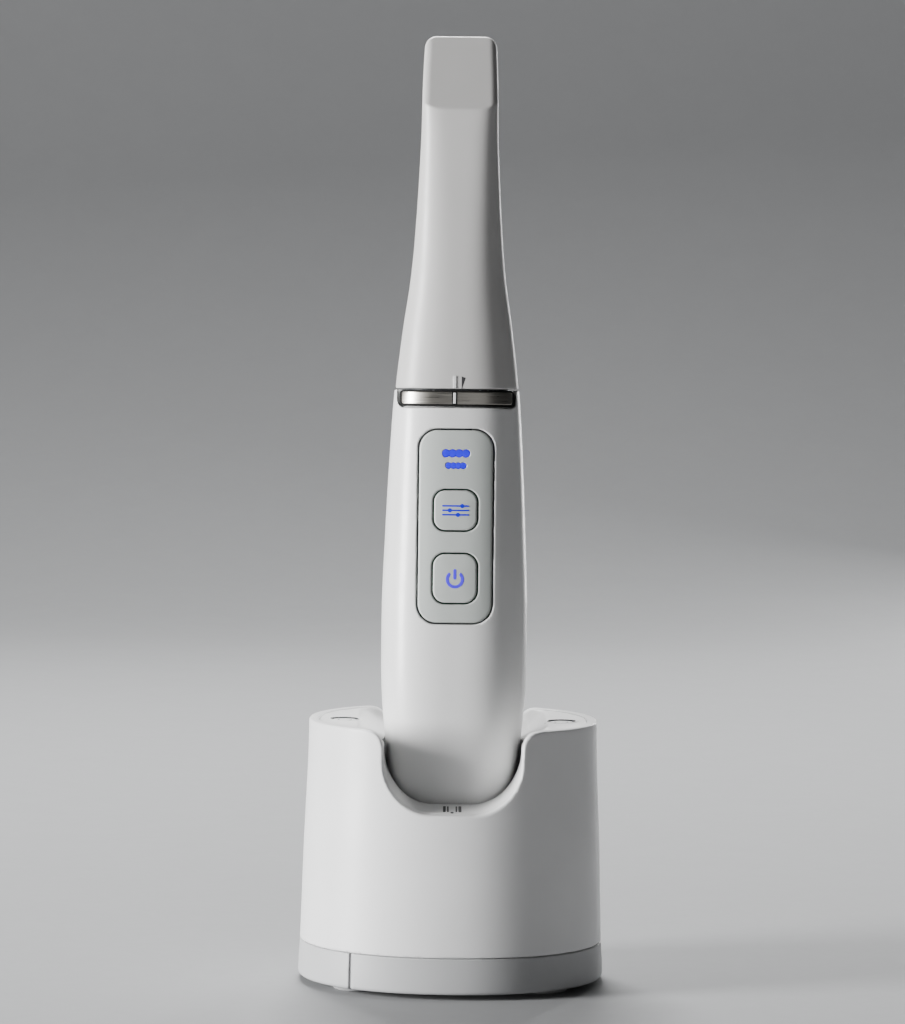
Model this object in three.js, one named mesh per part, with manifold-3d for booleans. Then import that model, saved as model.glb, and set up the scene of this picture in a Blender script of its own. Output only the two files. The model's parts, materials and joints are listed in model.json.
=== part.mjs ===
// Wireless intraoral scanning wand, standing tip-up in its desk cradle.
// Millimetres, +Z up. The front (buttons, U cut) faces -Y and the rubber feet stand on z = 0.
// The wand and its tip are built in the wand's own frame: local +Z runs along the wand from its
// butt end, local -Y is the button side. One group leans that frame back into the socket.

import * as THREE from 'three';
import { mergeVertices } from 'three/addons/utils/BufferGeometryUtils.js';
import Module from 'manifold-3d';

const wasm = await Module();
wasm.setup();

// ---------------------------------------------------------------------------------------------
// Driving dimensions
// ---------------------------------------------------------------------------------------------

const GAP = 0.3; // clearance between neighbouring pieces
const REACH = 60; // half length of a cutter that passes right through a piece

// Desk cradle
const RIM_Z = 69.2;
const SEAM_Z = 10.9; // joint between shell and skirt
const SKIRT_BOTTOM_Z = 1.5;
const CRADLE_DEPTH_RATIO = 0.88; // plan depth over plan width
const CRADLE_WALL = 2.4;
const CRADLE_SIDES = 28;
const CRADLE_POWER = 2.15; // plan outline, slightly squarer than an ellipse
const SKIRT_EDGE_Z = 3; // where the skirt's lower edge has reached its full width
const SKIRT_EDGE_INSET = 0.4;
const WAIST_Z = 34; // where the shell's sides start to lean in more
const CRADLE_HALF_WIDTHS = [[SKIRT_EDGE_Z, 40.1], [SEAM_Z, 39.7], [WAIST_Z, 39], [RIM_Z, 37.8]];
const RIM_EDGE = 0.7; // softened top edge of the rim
const RIB = { thickness: 1.4, height: 3 }; // ring on the skirt that centres the shell

const FOOT_RADIUS = 6;
const FOOT_HEIGHT = 2.4;
const FOOT_X = 24.5;
const FOOT_Y = 17;
const PLATE_BOTTOM_Z = SKIRT_BOTTOM_Z + 0.1;
const PLATE_THICKNESS = 2.8;
const PLATE_TOP_Z = PLATE_BOTTOM_Z + PLATE_THICKNESS;
const FOOT_EDGE = 0.5;
const FOOT_SIDES = 18;
const BASE_SCREW_X = 31.5;
const BASE_SCREW_Y = 11;
const BASE_SCREW = { headLow: 1.7, headHigh: 2.9, headRadius: 2.4, shankRadius: 1.1, end: 8.8 };
const BASE_SCREW_HOLE = { radius: 1.4, headRadius: 2.7, headTop: 3.2, plateTop: 8 };
const BASE_BOSS_RADIUS = 3;
const SLOT_WIDTH = 0.6;
const SLOT_DEPTH = 0.5;
const SLOT_LENGTH_RATIO = 0.7; // slot length over head diameter
const INSERT_SCREW = { headHeight: 2.1, headRadius: 2.6, shankRadius: 1.3, length: 15.8 };
const BALLAST = { halfWidth: 22.5, halfDepth: 21.5, height: 7.6, edgeHeight: 0.8, edgeInset: 0.6, power: 2.4 };
const SKIRT_GROOVE_X = -25.6;
const SKIRT_GROOVE_WIDTH = 0.5;
const SKIRT_GROOVE_DEPTH = 0.5;

const DISH_DEPTH = 5.6; // greatest depth of the dished top, round the socket
const DISH_END_DEPTH = 0.35; // depth of the level floor at its two ends, round the plugs
const DISH_SLOPE = 0.72; // fall of its floor from there towards the wand
const DISH_END_X = 25.2; // where that fall starts
const DISH_POWER = 14; // how steeply the dish wall rises at the rim
const PLUG_X = 28.5;
const PLUG_RADIUS = 3.25;
const PLUG_SINK = 0.35; // depth of the plug's top below the dish floor
const PLUG_SEAT_Z = RIM_Z - 4.8;
const PLUG_HOLE_Z = RIM_Z - 8.5; // floor of the hole over the insert screw
const INSERT_CAP_Z = RIM_Z - 16; // lower edge of the insert's cap
const INSERT_BOSS = { radius: 5, low: RIM_Z - 14, high: RIM_Z - 4, bore: 1.6 };
const POST = { radius: 4.2, top: RIM_Z - 14.3, bore: 1.6, boreLow: RIM_Z - 25 };
const DISH_WALL = 2.6; // thickness under the dish floor

// U cut in the cradle's front, and the shallower one in its back
const CUT_HALF_WIDTH = 17.9;
const CUT_FLARE = 4.5; // radius where the cut opens out onto the rim
const FRONT_CUT = { bottom: RIM_Z - 20.8, corner: 12.9, rise: 3.4 }; // rise of its floor, degrees
const REAR_CUT = { bottom: RIM_Z - 12, corner: 10, rise: 0 };
const CUT_WALL = 2.2;
const CUT_WALL_SINK = 3; // depth of that wall's top below the rim

// Wand
const LEAN = THREE.MathUtils.degToRad(2.5);
const BUTT = new THREE.Vector3(0, -3, 20.4); // butt end of the wand in the socket
const WAND_LENGTH = 228;
const WAND_SIDES = 24;
const WAND_WALL = 2.2;
const END_CAP_TOP = 5;
const BODY_TOP = 135;
const SLEEVE_START = BODY_TOP + GAP;
const SOCKET_CLEARANCE = 0.9;
const SOCKET_WALL = 2.2;
const CUP_HIGH = 58; // where the socket's wall ends inside the cap, along the wand

// Wand outline: distance from the butt end, half width, half depth, and the section's
// offset towards the back
const WAND_STATIONS = [
	[0, 8.6, 7.8, 0],
	[1.2, 11.4, 10.4, 0],
	[4, 13.2, 12.1, 0],
	[12, 14.7, 13.4, 0],
	[37, 17.1, 15.7, 0],
	[55, 18.8, 17.2, 0],
	[75, 19.1, 17.5, 0],
	[100, 18.3, 16.7, 0],
	[117, 17.5, 15.3, -0.1],
	[134, 16.4, 13.9, -0.3],
	[150, 14.6, 12.6, -0.5],
	[165, 12.5, 11.3, -0.8],
	[180, 11.3, 10.4, -1.1],
	[200, 10.3, 9.7, -1.3],
	[216, 10, 9.2, -1.4],
	[WAND_LENGTH, 9.7, 8.9, -1.5],
];

// Squareness of the wand's cross section, by distance from the butt end
const WAND_POWERS = [[0, 2.8], [140, 2.8], [200, 4.2], [WAND_LENGTH, 4.6]];

// Tip head
const FACET_START = 208; // where the slanted facet leaves the front surface
const FACET_TOP_EDGE = 1.5; // thickness left at the very top
const HEAD_CORNER = 3.3; // rounding of the head's two top corners, seen from the front
const SLEEVE_WALL = 1.5;
const SLEEVE_TOP_WALL = 1.6;
const FACET_WALL = 1.8;
const MIRROR_THICKNESS = 1;
const MIRROR_TOP = WAND_LENGTH - 3.4;
const WINDOW = { halfWidth: 6.6, low: 205.5, high: 221.5, corner: 3 };

// Collar
const COLLAR = { halfWidth: 14.4, low: 131.3, high: 134.5, corner: 0.6 };
const COLLAR_SURROUND = 0.6;
const COLLAR_DEPTH = 1.5;
const BAND = { front: 0.2, back: 0.6 }; // insets of the steel band's two faces
const GASKET = { front: 0.75, back: 1.3 };

// Keypad
const PANEL = { width: 19.1, low: 74.7, high: 124.6, corner: 4.9 };
const PANEL_THICKNESS = 1.4;
const MODE = { width: 11.1, low: 98.7, high: 109, corner: 3 };
const POWER = { width: 11.3, low: 79.9, high: 92.5, corner: 3.2 };
const BUTTON_THICKNESS = 1.6;
const BUTTON_PROUD = 0.15;
const BUTTON_TRAVEL = 0.4;
const KEYPAD_BOARD = { front: -12.2, thickness: 1, halfWidth: 9, low: 76, high: 121 };
const LIGHT_ROWS = [
	{ along: 118.6, radius: 0.97, pitch: 1.63 },
	{ along: 115.4, radius: 0.77, pitch: 1.2 },
];
const LIGHTS_PER_ROW = 4;
const LIGHT_CLEARANCE = 0.15;
const LIGHT_SINK = 0.15; // depth of the light posts' ends below the skin
const LIGHT_PLATE = { halfWidth: 4.6, thickness: 0.5, below: 1.6, above: 1.8 };
const SWITCH = { half: 3.1, height: 1.1, plungerRadius: 1.7, slack: 0.35 };
const PANEL_SINK = 0.1;

// Inside the wand
const BOARD_HALF_WIDTH = 9.2;
const CELL_RADIUS = 9.2;
const CELL_LOW = 7.6;
const CELL_LENGTH = 62;
const CELL_SIDES = 28;
const SHELL_SCREWS = [
	{ name: 'body_screw_1', x: -12.5, along: 24, sink: 4.7 },
	{ name: 'body_screw_2', x: 12.5, along: 24, sink: 4.7 },
	{ name: 'body_screw_3', x: -12.8, along: 112, sink: 3.8 },
	{ name: 'body_screw_4', x: 12.8, along: 112, sink: 3.8 },
];
const BOSS_RADIUS = 2.9;
const BOSS_TRIM = 0.8; // skin left between a boss and the outside
const SCREW_BORE = 1.3;
const SCREW_SEAT_RADIUS = 2.4;
const SHELL_SCREW = { headRadius: 2.05, headHeight: 1.5, shankRadius: 1, tip: -6, slotReach: 1.4 };
const NOSE_LOW = 126.5;
const NOSE_HIGH = 178;
const NOSE_WALL = 1.4;
const NOSE_CLEARANCE = 0.7;
const NOSE_WINDOW = { thickness: 1.9, sink: 1, ledge: 3.5 };
const BOARDS = { low: 73, high: 114 };
const CHASSIS = { front: -1.6, back: 0.2, windowHalfWidth: 6.5, windowCorner: 1.5 };
const CHASSIS_WINDOWS = [[76, 84], [88, 98], [102, 110]];
const MAIN_BOARD = { front: 2.6, back: 4.2 };
const PROCESSOR = { halfWidth: 6, front: 4.5, back: 6.7, low: 89, high: 103 };
const RADIO = { halfWidth: 7, front: 4.5, back: 6.6, low: 74.5, high: 82.5 };
const HEAT_SINK = { halfWidth: 9, front: 7, base: 1.4, back: 12.2, low: 84, high: 108 };
const FINS = { count: 6, pitch: 3.2, thickness: 1.2 };
const SENSOR_BOARD = { halfWidth: 9, front: -8.8, back: 9, low: 116.4, high: 118.3 };
const LENS = { y: 2.4, radius: 3.9, low: 118.6, high: 150 };
const LENS_FLANGE = { radius: 4.4, lowEnd: 124, highStart: 146 };
const LENS_BORE = { radius: 3.1, low: 130 };
const PROJECTOR_HOUSING = { halfWidth: 4, front: -8.4, back: -2.4, low: 118.6, high: 125 };
const PROJECTOR_TUBE = { y: -5.3, radius: 2.6, bore: 1.8, boreLow: 135, high: 143 };
const CELL_BUTTON = { radius: 2.8, height: 1.2 };
const TRAY = { wall: 1.2, rise: 6, opening: 3 };
const SPRING = { radius: 3.4, baseRadius: 5.5, baseLow: 2.6, baseHigh: 1.7 };
const CONTACT_PLATE = { half: 5, thickness: 0.8 };

// ---------------------------------------------------------------------------------------------
// Materials
// ---------------------------------------------------------------------------------------------

function material(color, roughness, metalness = 0) {
	return new THREE.MeshStandardMaterial({ color, roughness, metalness });
}

const WHITE_SATIN = material(0xececea, 0.35);
const WHITE_MATTE = material(0xe2e2df, 0.5);
const SKIRT_GREY = material(0xb9babb, 0.45);
const PANEL_GREY = material(0xbfc3c0, 0.6);
const BLACK_RUBBER = material(0x1a1a1b, 0.8);
const GREY_RUBBER = material(0x9fa0a1, 0.7);
const STEEL = material(0x8f8d86, 0.35, 1);
const BRIGHT_STEEL = material(0xb8b8b8, 0.3, 1);
const ALUMINIUM = material(0xa8abae, 0.4, 1);
const GLASS = material(0xdfe8ea, 0.05);
const MIRROR = material(0xf2f4f5, 0.03, 1);
const BLUE_LIGHT = material(0x4650f5, 0.3);
const BOARD_GREEN = material(0x1f5a3a, 0.5);
const CHIP_BLACK = material(0x202226, 0.5);
const DARK_PLASTIC = material(0x3a3d40, 0.5);
const CELL_WRAP = material(0x2d5fa8, 0.4);
const GOLD = material(0xc9a545, 0.3, 1);

// ---------------------------------------------------------------------------------------------
// Geometry helpers
// ---------------------------------------------------------------------------------------------

// Smooth curve through [position, value] stations that never overshoots them.
function profile(stations) {
	const slopes = stations.map((station, i) => {
		const before = stations[Math.max(i - 1, 0)];
		const after = stations[Math.min(i + 1, stations.length - 1)];
		const rise = (station[1] - before[1]) * (after[1] - station[1]);
		return rise <= 0 ? 0 : (after[1] - before[1]) / (after[0] - before[0]);
	});
	return (position) => {
		let i = 0;
		while (i < stations.length - 2 && position > stations[i + 1][0]) i += 1;
		const [startAt, start] = stations[i];
		const [endAt, end] = stations[i + 1];
		const span = endAt - startAt;
		const t = THREE.MathUtils.clamp((position - startAt) / span, 0, 1);
		const bend = t * t * (3 - 2 * t);
		const leave = t * (1 - t) * (1 - t) * span * slopes[i];
		const arrive = t * t * (1 - t) * span * slopes[i + 1];
		return start + (end - start) * bend + leave - arrive;
	};
}

// Closed rounded outline, counter-clockwise seen from +Z.
function outline(halfWidth, halfDepth, power, sides, centre = 0) {
	const points = [];
	for (let i = 0; i < sides; i += 1) {
		const angle = (i / sides) * Math.PI * 2;
		const across = Math.cos(angle);
		const deep = Math.sin(angle);
		points.push(new THREE.Vector2(
			halfWidth * Math.sign(across) * Math.abs(across) ** (2 / power),
			centre + halfDepth * Math.sign(deep) * Math.abs(deep) ** (2 / power),
		));
	}
	return points;
}

// Closed skin over a stack of rings, each an array of Vector3 with the same number of points.
function skin(rings) {
	const sides = rings[0].length;
	const positions = [];
	const indices = [];
	for (const ring of rings) {
		for (const point of ring) positions.push(point.x, point.y, point.z);
	}
	for (let level = 0; level < rings.length - 1; level += 1) {
		for (let i = 0; i < sides; i += 1) {
			const low = level * sides + i;
			const next = level * sides + ((i + 1) % sides);
			indices.push(low, next, next + sides, low, next + sides, low + sides);
		}
	}
	const ends = [[rings[0], 0, true], [rings[rings.length - 1], (rings.length - 1) * sides, false]];
	for (const [ring, first, down] of ends) {
		const middle = positions.length / 3;
		const centre = ring.reduce((sum, point) => sum.add(point), new THREE.Vector3());
		centre.divideScalar(sides);
		positions.push(centre.x, centre.y, centre.z);
		for (let i = 0; i < sides; i += 1) {
			const here = first + i;
			const next = first + ((i + 1) % sides);
			indices.push(middle, down ? next : here, down ? here : next);
		}
	}
	const geometry = new THREE.BufferGeometry();
	geometry.setAttribute('position', new THREE.Float32BufferAttribute(positions, 3));
	geometry.setIndex(indices);
	return geometry;
}

function loft(levels, outlineAt) {
	return skin(levels.map((z) => outlineAt(z).map((point) => new THREE.Vector3(point.x, point.y, z))));
}

function levelsBetween(low, high, marks) {
	const inside = marks.filter((mark) => mark > low + 0.4 && mark < high - 0.4);
	return [low, ...inside, high];
}

// A closed three.js geometry as a solid that can be joined and cut.
function solid(geometry) {
	const bare = geometry.clone();
	bare.deleteAttribute('normal');
	bare.deleteAttribute('uv');
	const merged = mergeVertices(bare, 1e-4);
	const vertProperties = Float32Array.from(merged.attributes.position.array);
	const triVerts = Uint32Array.from(merged.index.array);
	return new wasm.Manifold(new wasm.Mesh({ numProp: 3, vertProperties, triVerts }));
}

function toGeometry(result) {
	const mesh = result.getMesh();
	const geometry = new THREE.BufferGeometry();
	geometry.setAttribute('position', new THREE.Float32BufferAttribute(mesh.vertProperties, 3));
	geometry.setIndex(Array.from(mesh.triVerts));
	geometry.computeVertexNormals();
	return geometry;
}

function joined(...solids) {
	return solids.reduce((all, next) => all.add(next));
}

function cut(body, ...tools) {
	return tools.reduce((rest, tool) => rest.subtract(tool), body);
}

// Box between two corners.
function block(low, high) {
	const size = high.map((value, i) => value - low[i]);
	const centre = high.map((value, i) => (value + low[i]) / 2);
	return solid(new THREE.BoxGeometry(...size).translate(...centre));
}

// Board, chip or can lying across the wand, from its named dimensions.
function slab({ halfWidth, front, back, low, high }) {
	return block([-halfWidth, front, low], [halfWidth, back, high]);
}

// Round bar along +Z from low to high.
function barUp(radius, x, y, low, high, sides = 14) {
	const geometry = new THREE.CylinderGeometry(radius, radius, high - low, sides);
	return solid(geometry.rotateX(Math.PI / 2).translate(x, y, (low + high) / 2));
}

// Round bar through the wand from front to back, between two depths.
function barThrough(radius, x, along, front, back, sides = 12) {
	const geometry = new THREE.CylinderGeometry(radius, radius, back - front, sides);
	return solid(geometry.translate(x, (front + back) / 2, along));
}

// Rounded rectangle in the X-Z plane, extruded from one Y to another.
function roundedPrism(halfWidth, low, high, corner, front, back) {
	const shape = new THREE.Shape();
	shape.moveTo(-halfWidth + corner, low);
	shape.lineTo(halfWidth - corner, low);
	shape.absarc(halfWidth - corner, low + corner, corner, -Math.PI / 2, 0);
	shape.lineTo(halfWidth, high - corner);
	shape.absarc(halfWidth - corner, high - corner, corner, 0, Math.PI / 2);
	shape.lineTo(-halfWidth + corner, high);
	shape.absarc(-halfWidth + corner, high - corner, corner, Math.PI / 2, Math.PI);
	shape.lineTo(-halfWidth, low + corner);
	shape.absarc(-halfWidth + corner, low + corner, corner, Math.PI, Math.PI * 1.5);
	return prismAlongY(shape, front, back);
}

// A shape drawn in X-Z, extruded from y = front to y = back.
function prismAlongY(shape, front, back) {
	const geometry = new THREE.ExtrudeGeometry(shape, {
		depth: back - front,
		bevelEnabled: false,
		curveSegments: 3,
	});
	return solid(geometry.rotateX(Math.PI / 2).translate(0, back, 0));
}

function node(name, shape, finish) {
	const mesh = new THREE.Mesh(toGeometry(shape), finish);
	mesh.name = name;
	return mesh;
}

// ---------------------------------------------------------------------------------------------
// The wand's outer form, which the socket in the cradle also follows
// ---------------------------------------------------------------------------------------------

const wandColumn = (column) => profile(WAND_STATIONS.map((station) => [station[0], station[column]]));
const wandHalfWidth = wandColumn(1);
const wandHalfDepth = wandColumn(2);
const wandOffset = wandColumn(3);
const wandPower = profile(WAND_POWERS);
const wandMarks = WAND_STATIONS.map((station) => station[0]);
const innerMarks = [12, 55, 100, 134, 165, 200]; // inner walls follow the outer form more coarsely
const INNER_INSET = 1;

// Geometry of the wand's outer form, drawn in by an inset, between two distances from the butt.
function wandLoft(inset, low, high) {
	const marks = inset > INNER_INSET ? innerMarks : wandMarks;
	return loft(levelsBetween(low, high, marks), (along) => outline(
		wandHalfWidth(along) - inset,
		wandHalfDepth(along) - inset,
		wandPower(along),
		WAND_SIDES,
		wandOffset(along),
	));
}

function wandForm(inset, low, high) {
	return solid(wandLoft(inset, low, high));
}

// Depth of the wand's surface at a point, towards the front (side -1) or the back (side 1).
function surfaceDepth(x, along, side) {
	const share = (Math.abs(x) / wandHalfWidth(along)) ** wandPower(along);
	return wandOffset(along) + side * wandHalfDepth(along) * (1 - share) ** (1 / wandPower(along));
}

// ---------------------------------------------------------------------------------------------
// Desk cradle
// ---------------------------------------------------------------------------------------------

const cradleHalfWidth = profile(CRADLE_HALF_WIDTHS);
const cradleMarks = CRADLE_HALF_WIDTHS.map((station) => station[0]);

// Solid stack of the cradle's plan outlines, given as [height, inset] levels.
function cradleStack(levels) {
	return solid(skin(levels.map(([z, inset]) => {
		const halfWidth = cradleHalfWidth(z) - inset;
		const halfDepth = cradleHalfWidth(z) * CRADLE_DEPTH_RATIO - inset;
		const points = outline(halfWidth, halfDepth, CRADLE_POWER, CRADLE_SIDES);
		return points.map((point) => new THREE.Vector3(point.x, point.y, z));
	})));
}

// Solid of the cradle's outer form, drawn in by an inset, between two heights.
function cradleForm(inset, low, high) {
	return cradleStack(levelsBetween(low, high, cradleMarks).map((z) => [z, inset]));
}

// Height of the dished top above a point given by its share of the rim radius and its x.
function dishHeight(share, x, drop) {
	const fall = DISH_SLOPE * (DISH_END_X - Math.abs(x));
	const depth = THREE.MathUtils.clamp(fall, DISH_END_DEPTH, DISH_DEPTH);
	return RIM_Z - GAP - drop - depth * (1 - share ** DISH_POWER);
}

// Everything above (or, turned over, below) the dish surface.
function dishCutter(inset, drop, farZ) {
	const shares = [1, 0.97, 0.91, 0.8, 0.68, 0.5];
	const halfWidth = cradleHalfWidth(RIM_Z) - inset;
	const halfDepth = cradleHalfWidth(RIM_Z) * CRADLE_DEPTH_RATIO - inset;
	const rings = shares.map((share) => (
		outline(halfWidth * share, halfDepth * share, CRADLE_POWER, CRADLE_SIDES)
			.map((point) => new THREE.Vector3(point.x, point.y, dishHeight(share, point.x, drop)))
	));
	const farRing = rings[0].map((point) => new THREE.Vector3(point.x, point.y, farZ));
	if (farZ > RIM_Z) {
		return solid(skin([...rings.reverse(), farRing]));
	}
	return solid(skin([farRing, ...rings]));
}

// U-shaped cutter through the front (side -1) or back (side 1) of the cradle. The grown
// version is the outside of the wall that lines the cut.
function cutForm(cutSize, side, grow, flare) {
	const halfWidth = CUT_HALF_WIDTH + grow;
	const corner = cutSize.corner + grow;
	const bottom = cutSize.bottom - grow;
	const top = RIM_Z + 12;
	const shape = new THREE.Shape();
	shape.moveTo(-halfWidth + corner, bottom);
	shape.lineTo(halfWidth - corner, bottom);
	shape.absarc(halfWidth - corner, bottom + corner, corner, -Math.PI / 2, 0);
	if (flare > 0) {
		shape.lineTo(halfWidth, RIM_Z - flare);
		shape.absarc(halfWidth + flare, RIM_Z - flare, flare, Math.PI, Math.PI / 2, true);
		shape.lineTo(halfWidth + flare, top);
		shape.lineTo(-halfWidth - flare, top);
		shape.lineTo(-halfWidth - flare, RIM_Z);
		shape.absarc(-halfWidth - flare, RIM_Z - flare, flare, Math.PI / 2, 0, true);
	} else {
		shape.lineTo(halfWidth, top);
		shape.lineTo(-halfWidth, top);
	}
	shape.lineTo(-halfWidth, bottom + corner);
	shape.absarc(-halfWidth + corner, bottom + corner, corner, Math.PI, Math.PI * 1.5);
	const geometry = new THREE.ExtrudeGeometry(shape, {
		depth: REACH,
		bevelEnabled: false,
		curveSegments: 6,
	});
	geometry.rotateX(Math.PI / 2);
	if (side > 0) geometry.translate(0, REACH, 0);
	// the floor of the cut rises a little towards the socket, pivoting at the front face
	const faceY = side * cradleHalfWidth(cutSize.bottom) * CRADLE_DEPTH_RATIO;
	const rise = THREE.MathUtils.degToRad(cutSize.rise);
	geometry.translate(0, -faceY, -cutSize.bottom);
	geometry.rotateX(-side * rise);
	geometry.translate(0, faceY, cutSize.bottom);
	return solid(geometry);
}

const cradle = new THREE.Group();
const frontCut = cutForm(FRONT_CUT, -1, 0, CUT_FLARE);
const rearCut = cutForm(REAR_CUT, 1, 0, CUT_FLARE);

function cradleShell() {
	const outer = cradleStack([
		[SEAM_Z + GAP, 0],
		[WAIST_Z, 0],
		[RIM_Z - RIM_EDGE, 0],
		[RIM_Z, RIM_EDGE],
	]);
	const inner = cradleForm(CRADLE_WALL, SEAM_Z - 5, RIM_Z + 5);
	return cut(outer, inner, frontCut, rearCut);
}

function baseSkirt() {
	const ribOutside = CRADLE_WALL + GAP;
	const ribInside = ribOutside + RIB.thickness;
	const outer = cradleStack([
		[SKIRT_BOTTOM_Z, SKIRT_EDGE_INSET],
		[SKIRT_EDGE_Z, 0],
		[SEAM_Z, 0],
		[SEAM_Z, ribOutside],
		[SEAM_Z + RIB.height, ribOutside],
	]);
	const inner = cradleStack([
		[0, CRADLE_WALL],
		[SEAM_Z - RIB.height, CRADLE_WALL],
		[SEAM_Z - RIB.height / 2, ribInside],
		[SEAM_Z + RIB.height * 2, ribInside],
	]);
	let ring = cut(outer, inner);
	for (const x of [-BASE_SCREW_X, BASE_SCREW_X]) {
		for (const y of [-BASE_SCREW_Y, BASE_SCREW_Y]) {
			const boss = barUp(BASE_BOSS_RADIUS, x, y, PLATE_TOP_Z + GAP, SEAM_Z - 0.5);
			ring = ring.add(boss.intersect(cradleForm(1, 0, SEAM_Z)));
			ring = cut(ring, barUp(BASE_SCREW_HOLE.radius, x, y, 0, SEAM_Z - RIB.height / 2));
		}
	}
	const half = SKIRT_GROOVE_WIDTH / 2;
	const slot = block([SKIRT_GROOVE_X - half, -REACH, 0], [SKIRT_GROOVE_X + half, 0, SEAM_Z + 1]);
	return cut(ring, cut(slot, cradleForm(SKIRT_GROOVE_DEPTH, -1, RIM_Z)));
}

function basePlate() {
	let plate = cradleForm(CRADLE_WALL + GAP, PLATE_BOTTOM_Z, PLATE_TOP_Z);
	const { radius, headRadius, headTop, plateTop } = BASE_SCREW_HOLE;
	for (const side of [-1, 1]) {
		plate = plate.add(barUp(POST.radius, side * PLUG_X, 0, PLATE_TOP_Z - 1, POST.top));
		plate = cut(plate, barUp(POST.bore, side * PLUG_X, 0, POST.boreLow, RIM_Z));
		for (const y of [-1, 1]) {
			const recessTop = FOOT_HEIGHT + GAP;
			plate = cut(plate, barUp(FOOT_RADIUS + GAP, side * FOOT_X, y * FOOT_Y, 0, recessTop, FOOT_SIDES));
			plate = cut(plate, barUp(radius, side * BASE_SCREW_X, y * BASE_SCREW_Y, 0, plateTop));
			plate = cut(plate, barUp(headRadius, side * BASE_SCREW_X, y * BASE_SCREW_Y, 0, headTop));
		}
	}
	return plate;
}

function ballastWeight() {
	const { halfWidth, halfDepth, height, edgeHeight, edgeInset, power } = BALLAST;
	const low = PLATE_TOP_Z + GAP;
	const levels = [[0, edgeInset], [edgeHeight, 0], [height - edgeHeight, 0], [height, edgeInset]];
	return solid(skin(levels.map(([rise, inset]) => {
		const points = outline(halfWidth - inset, halfDepth - inset, power, WAND_SIDES);
		return points.map((point) => new THREE.Vector3(point.x, point.y, low + rise));
	})));
}

// Socket cup: the wand's own form grown by a clearance, in the leaning frame.
const wandToWorld = new THREE.Matrix4().compose(
	BUTT,
	new THREE.Quaternion().setFromAxisAngle(new THREE.Vector3(1, 0, 0), -LEAN),
	new THREE.Vector3(1, 1, 1),
);

function socketForm(grow, low, high) {
	const geometry = wandLoft(-grow, low, high);
	geometry.applyMatrix4(wandToWorld);
	return solid(geometry);
}

function cradleInsert() {
	const inset = CRADLE_WALL + GAP;
	const cap = cut(
		cradleForm(inset, INSERT_CAP_Z, RIM_Z - 0.2),
		dishCutter(inset + CUT_WALL, DISH_WALL, INSERT_CAP_Z - 5),
	);
	const cup = socketForm(SOCKET_CLEARANCE + SOCKET_WALL, -SOCKET_CLEARANCE - SOCKET_WALL, CUP_HIGH);
	const inside = cradleForm(inset, 0, RIM_Z - 0.2);
	const frontWall = cutForm(FRONT_CUT, -1, CUT_WALL, 0)
		.intersect(block([-REACH, -REACH, 0], [REACH, 0, RIM_Z - CUT_WALL_SINK]));
	const rearWall = cutForm(REAR_CUT, 1, CUT_WALL, 0)
		.intersect(block([-REACH, 0, 0], [REACH, REACH, RIM_Z - CUT_WALL_SINK]));
	let insert = joined(cap, cup, frontWall, rearWall).intersect(inside);
	for (const side of [-1, 1]) {
		insert = insert.add(barUp(INSERT_BOSS.radius, side * PLUG_X, 0, INSERT_BOSS.low, INSERT_BOSS.high));
	}
	insert = cut(insert, dishCutter(inset - 0.4, 0, RIM_Z + 12), frontCut, rearCut);
	for (const side of [-1, 1]) {
		insert = cut(insert, barUp(INSERT_BOSS.bore, side * PLUG_X, 0, INSERT_CAP_Z, RIM_Z));
		insert = cut(insert, barUp(PLUG_RADIUS + GAP, side * PLUG_X, 0, PLUG_HOLE_Z, RIM_Z));
	}
	return cut(insert, socketForm(SOCKET_CLEARANCE, -SOCKET_CLEARANCE, RIM_Z));
}

// Plug whose top lies just under the sloping floor of the dish.
function screwPlug(side) {
	const stem = barUp(PLUG_RADIUS, side * PLUG_X, 0, PLUG_SEAT_Z, RIM_Z, 20);
	return cut(stem, dishCutter(CRADLE_WALL - 0.1, PLUG_SINK, RIM_Z + 12));
}

// Screw along Z with a slotted head; its shank ends above or below the head.
function screwUp(x, y, { headLow, headHigh, headRadius, shankRadius, end }) {
	const head = barUp(headRadius, x, y, headLow, headHigh, 16);
	const shank = barUp(shankRadius, x, y, Math.min(end, headHigh - 0.2), Math.max(end, headLow + 0.2), 10);
	const slotAt = end > headHigh ? headLow : headHigh;
	const reach = headRadius * SLOT_LENGTH_RATIO;
	const slot = block(
		[x - SLOT_WIDTH / 2, y - reach, slotAt - SLOT_DEPTH],
		[x + SLOT_WIDTH / 2, y + reach, slotAt + SLOT_DEPTH],
	);
	return cut(joined(head, shank), slot);
}

cradle.add(node('cradle_shell', cradleShell(), WHITE_SATIN));
cradle.add(node('cradle_insert', cradleInsert(), WHITE_MATTE));
cradle.add(node('base_skirt', baseSkirt(), SKIRT_GREY));
cradle.add(node('base_plate', basePlate(), DARK_PLASTIC));
cradle.add(node('ballast_weight', ballastWeight(), STEEL));

[[-1, -1], [1, -1], [-1, 1], [1, 1]].forEach(([sideX, sideY], i) => {
	const footShape = new THREE.LatheGeometry([
		new THREE.Vector2(0, 0),
		new THREE.Vector2(FOOT_RADIUS - FOOT_EDGE, 0),
		new THREE.Vector2(FOOT_RADIUS, FOOT_EDGE),
		new THREE.Vector2(FOOT_RADIUS, FOOT_HEIGHT),
		new THREE.Vector2(0, FOOT_HEIGHT),
	], FOOT_SIDES).rotateX(Math.PI / 2);
	const foot = solid(footShape.translate(sideX * FOOT_X, sideY * FOOT_Y, 0));
	cradle.add(node(`foot_${i + 1}`, foot, GREY_RUBBER));
	const screw = screwUp(sideX * BASE_SCREW_X, sideY * BASE_SCREW_Y, BASE_SCREW);
	cradle.add(node(`base_screw_${i + 1}`, screw, BRIGHT_STEEL));
});

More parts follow.
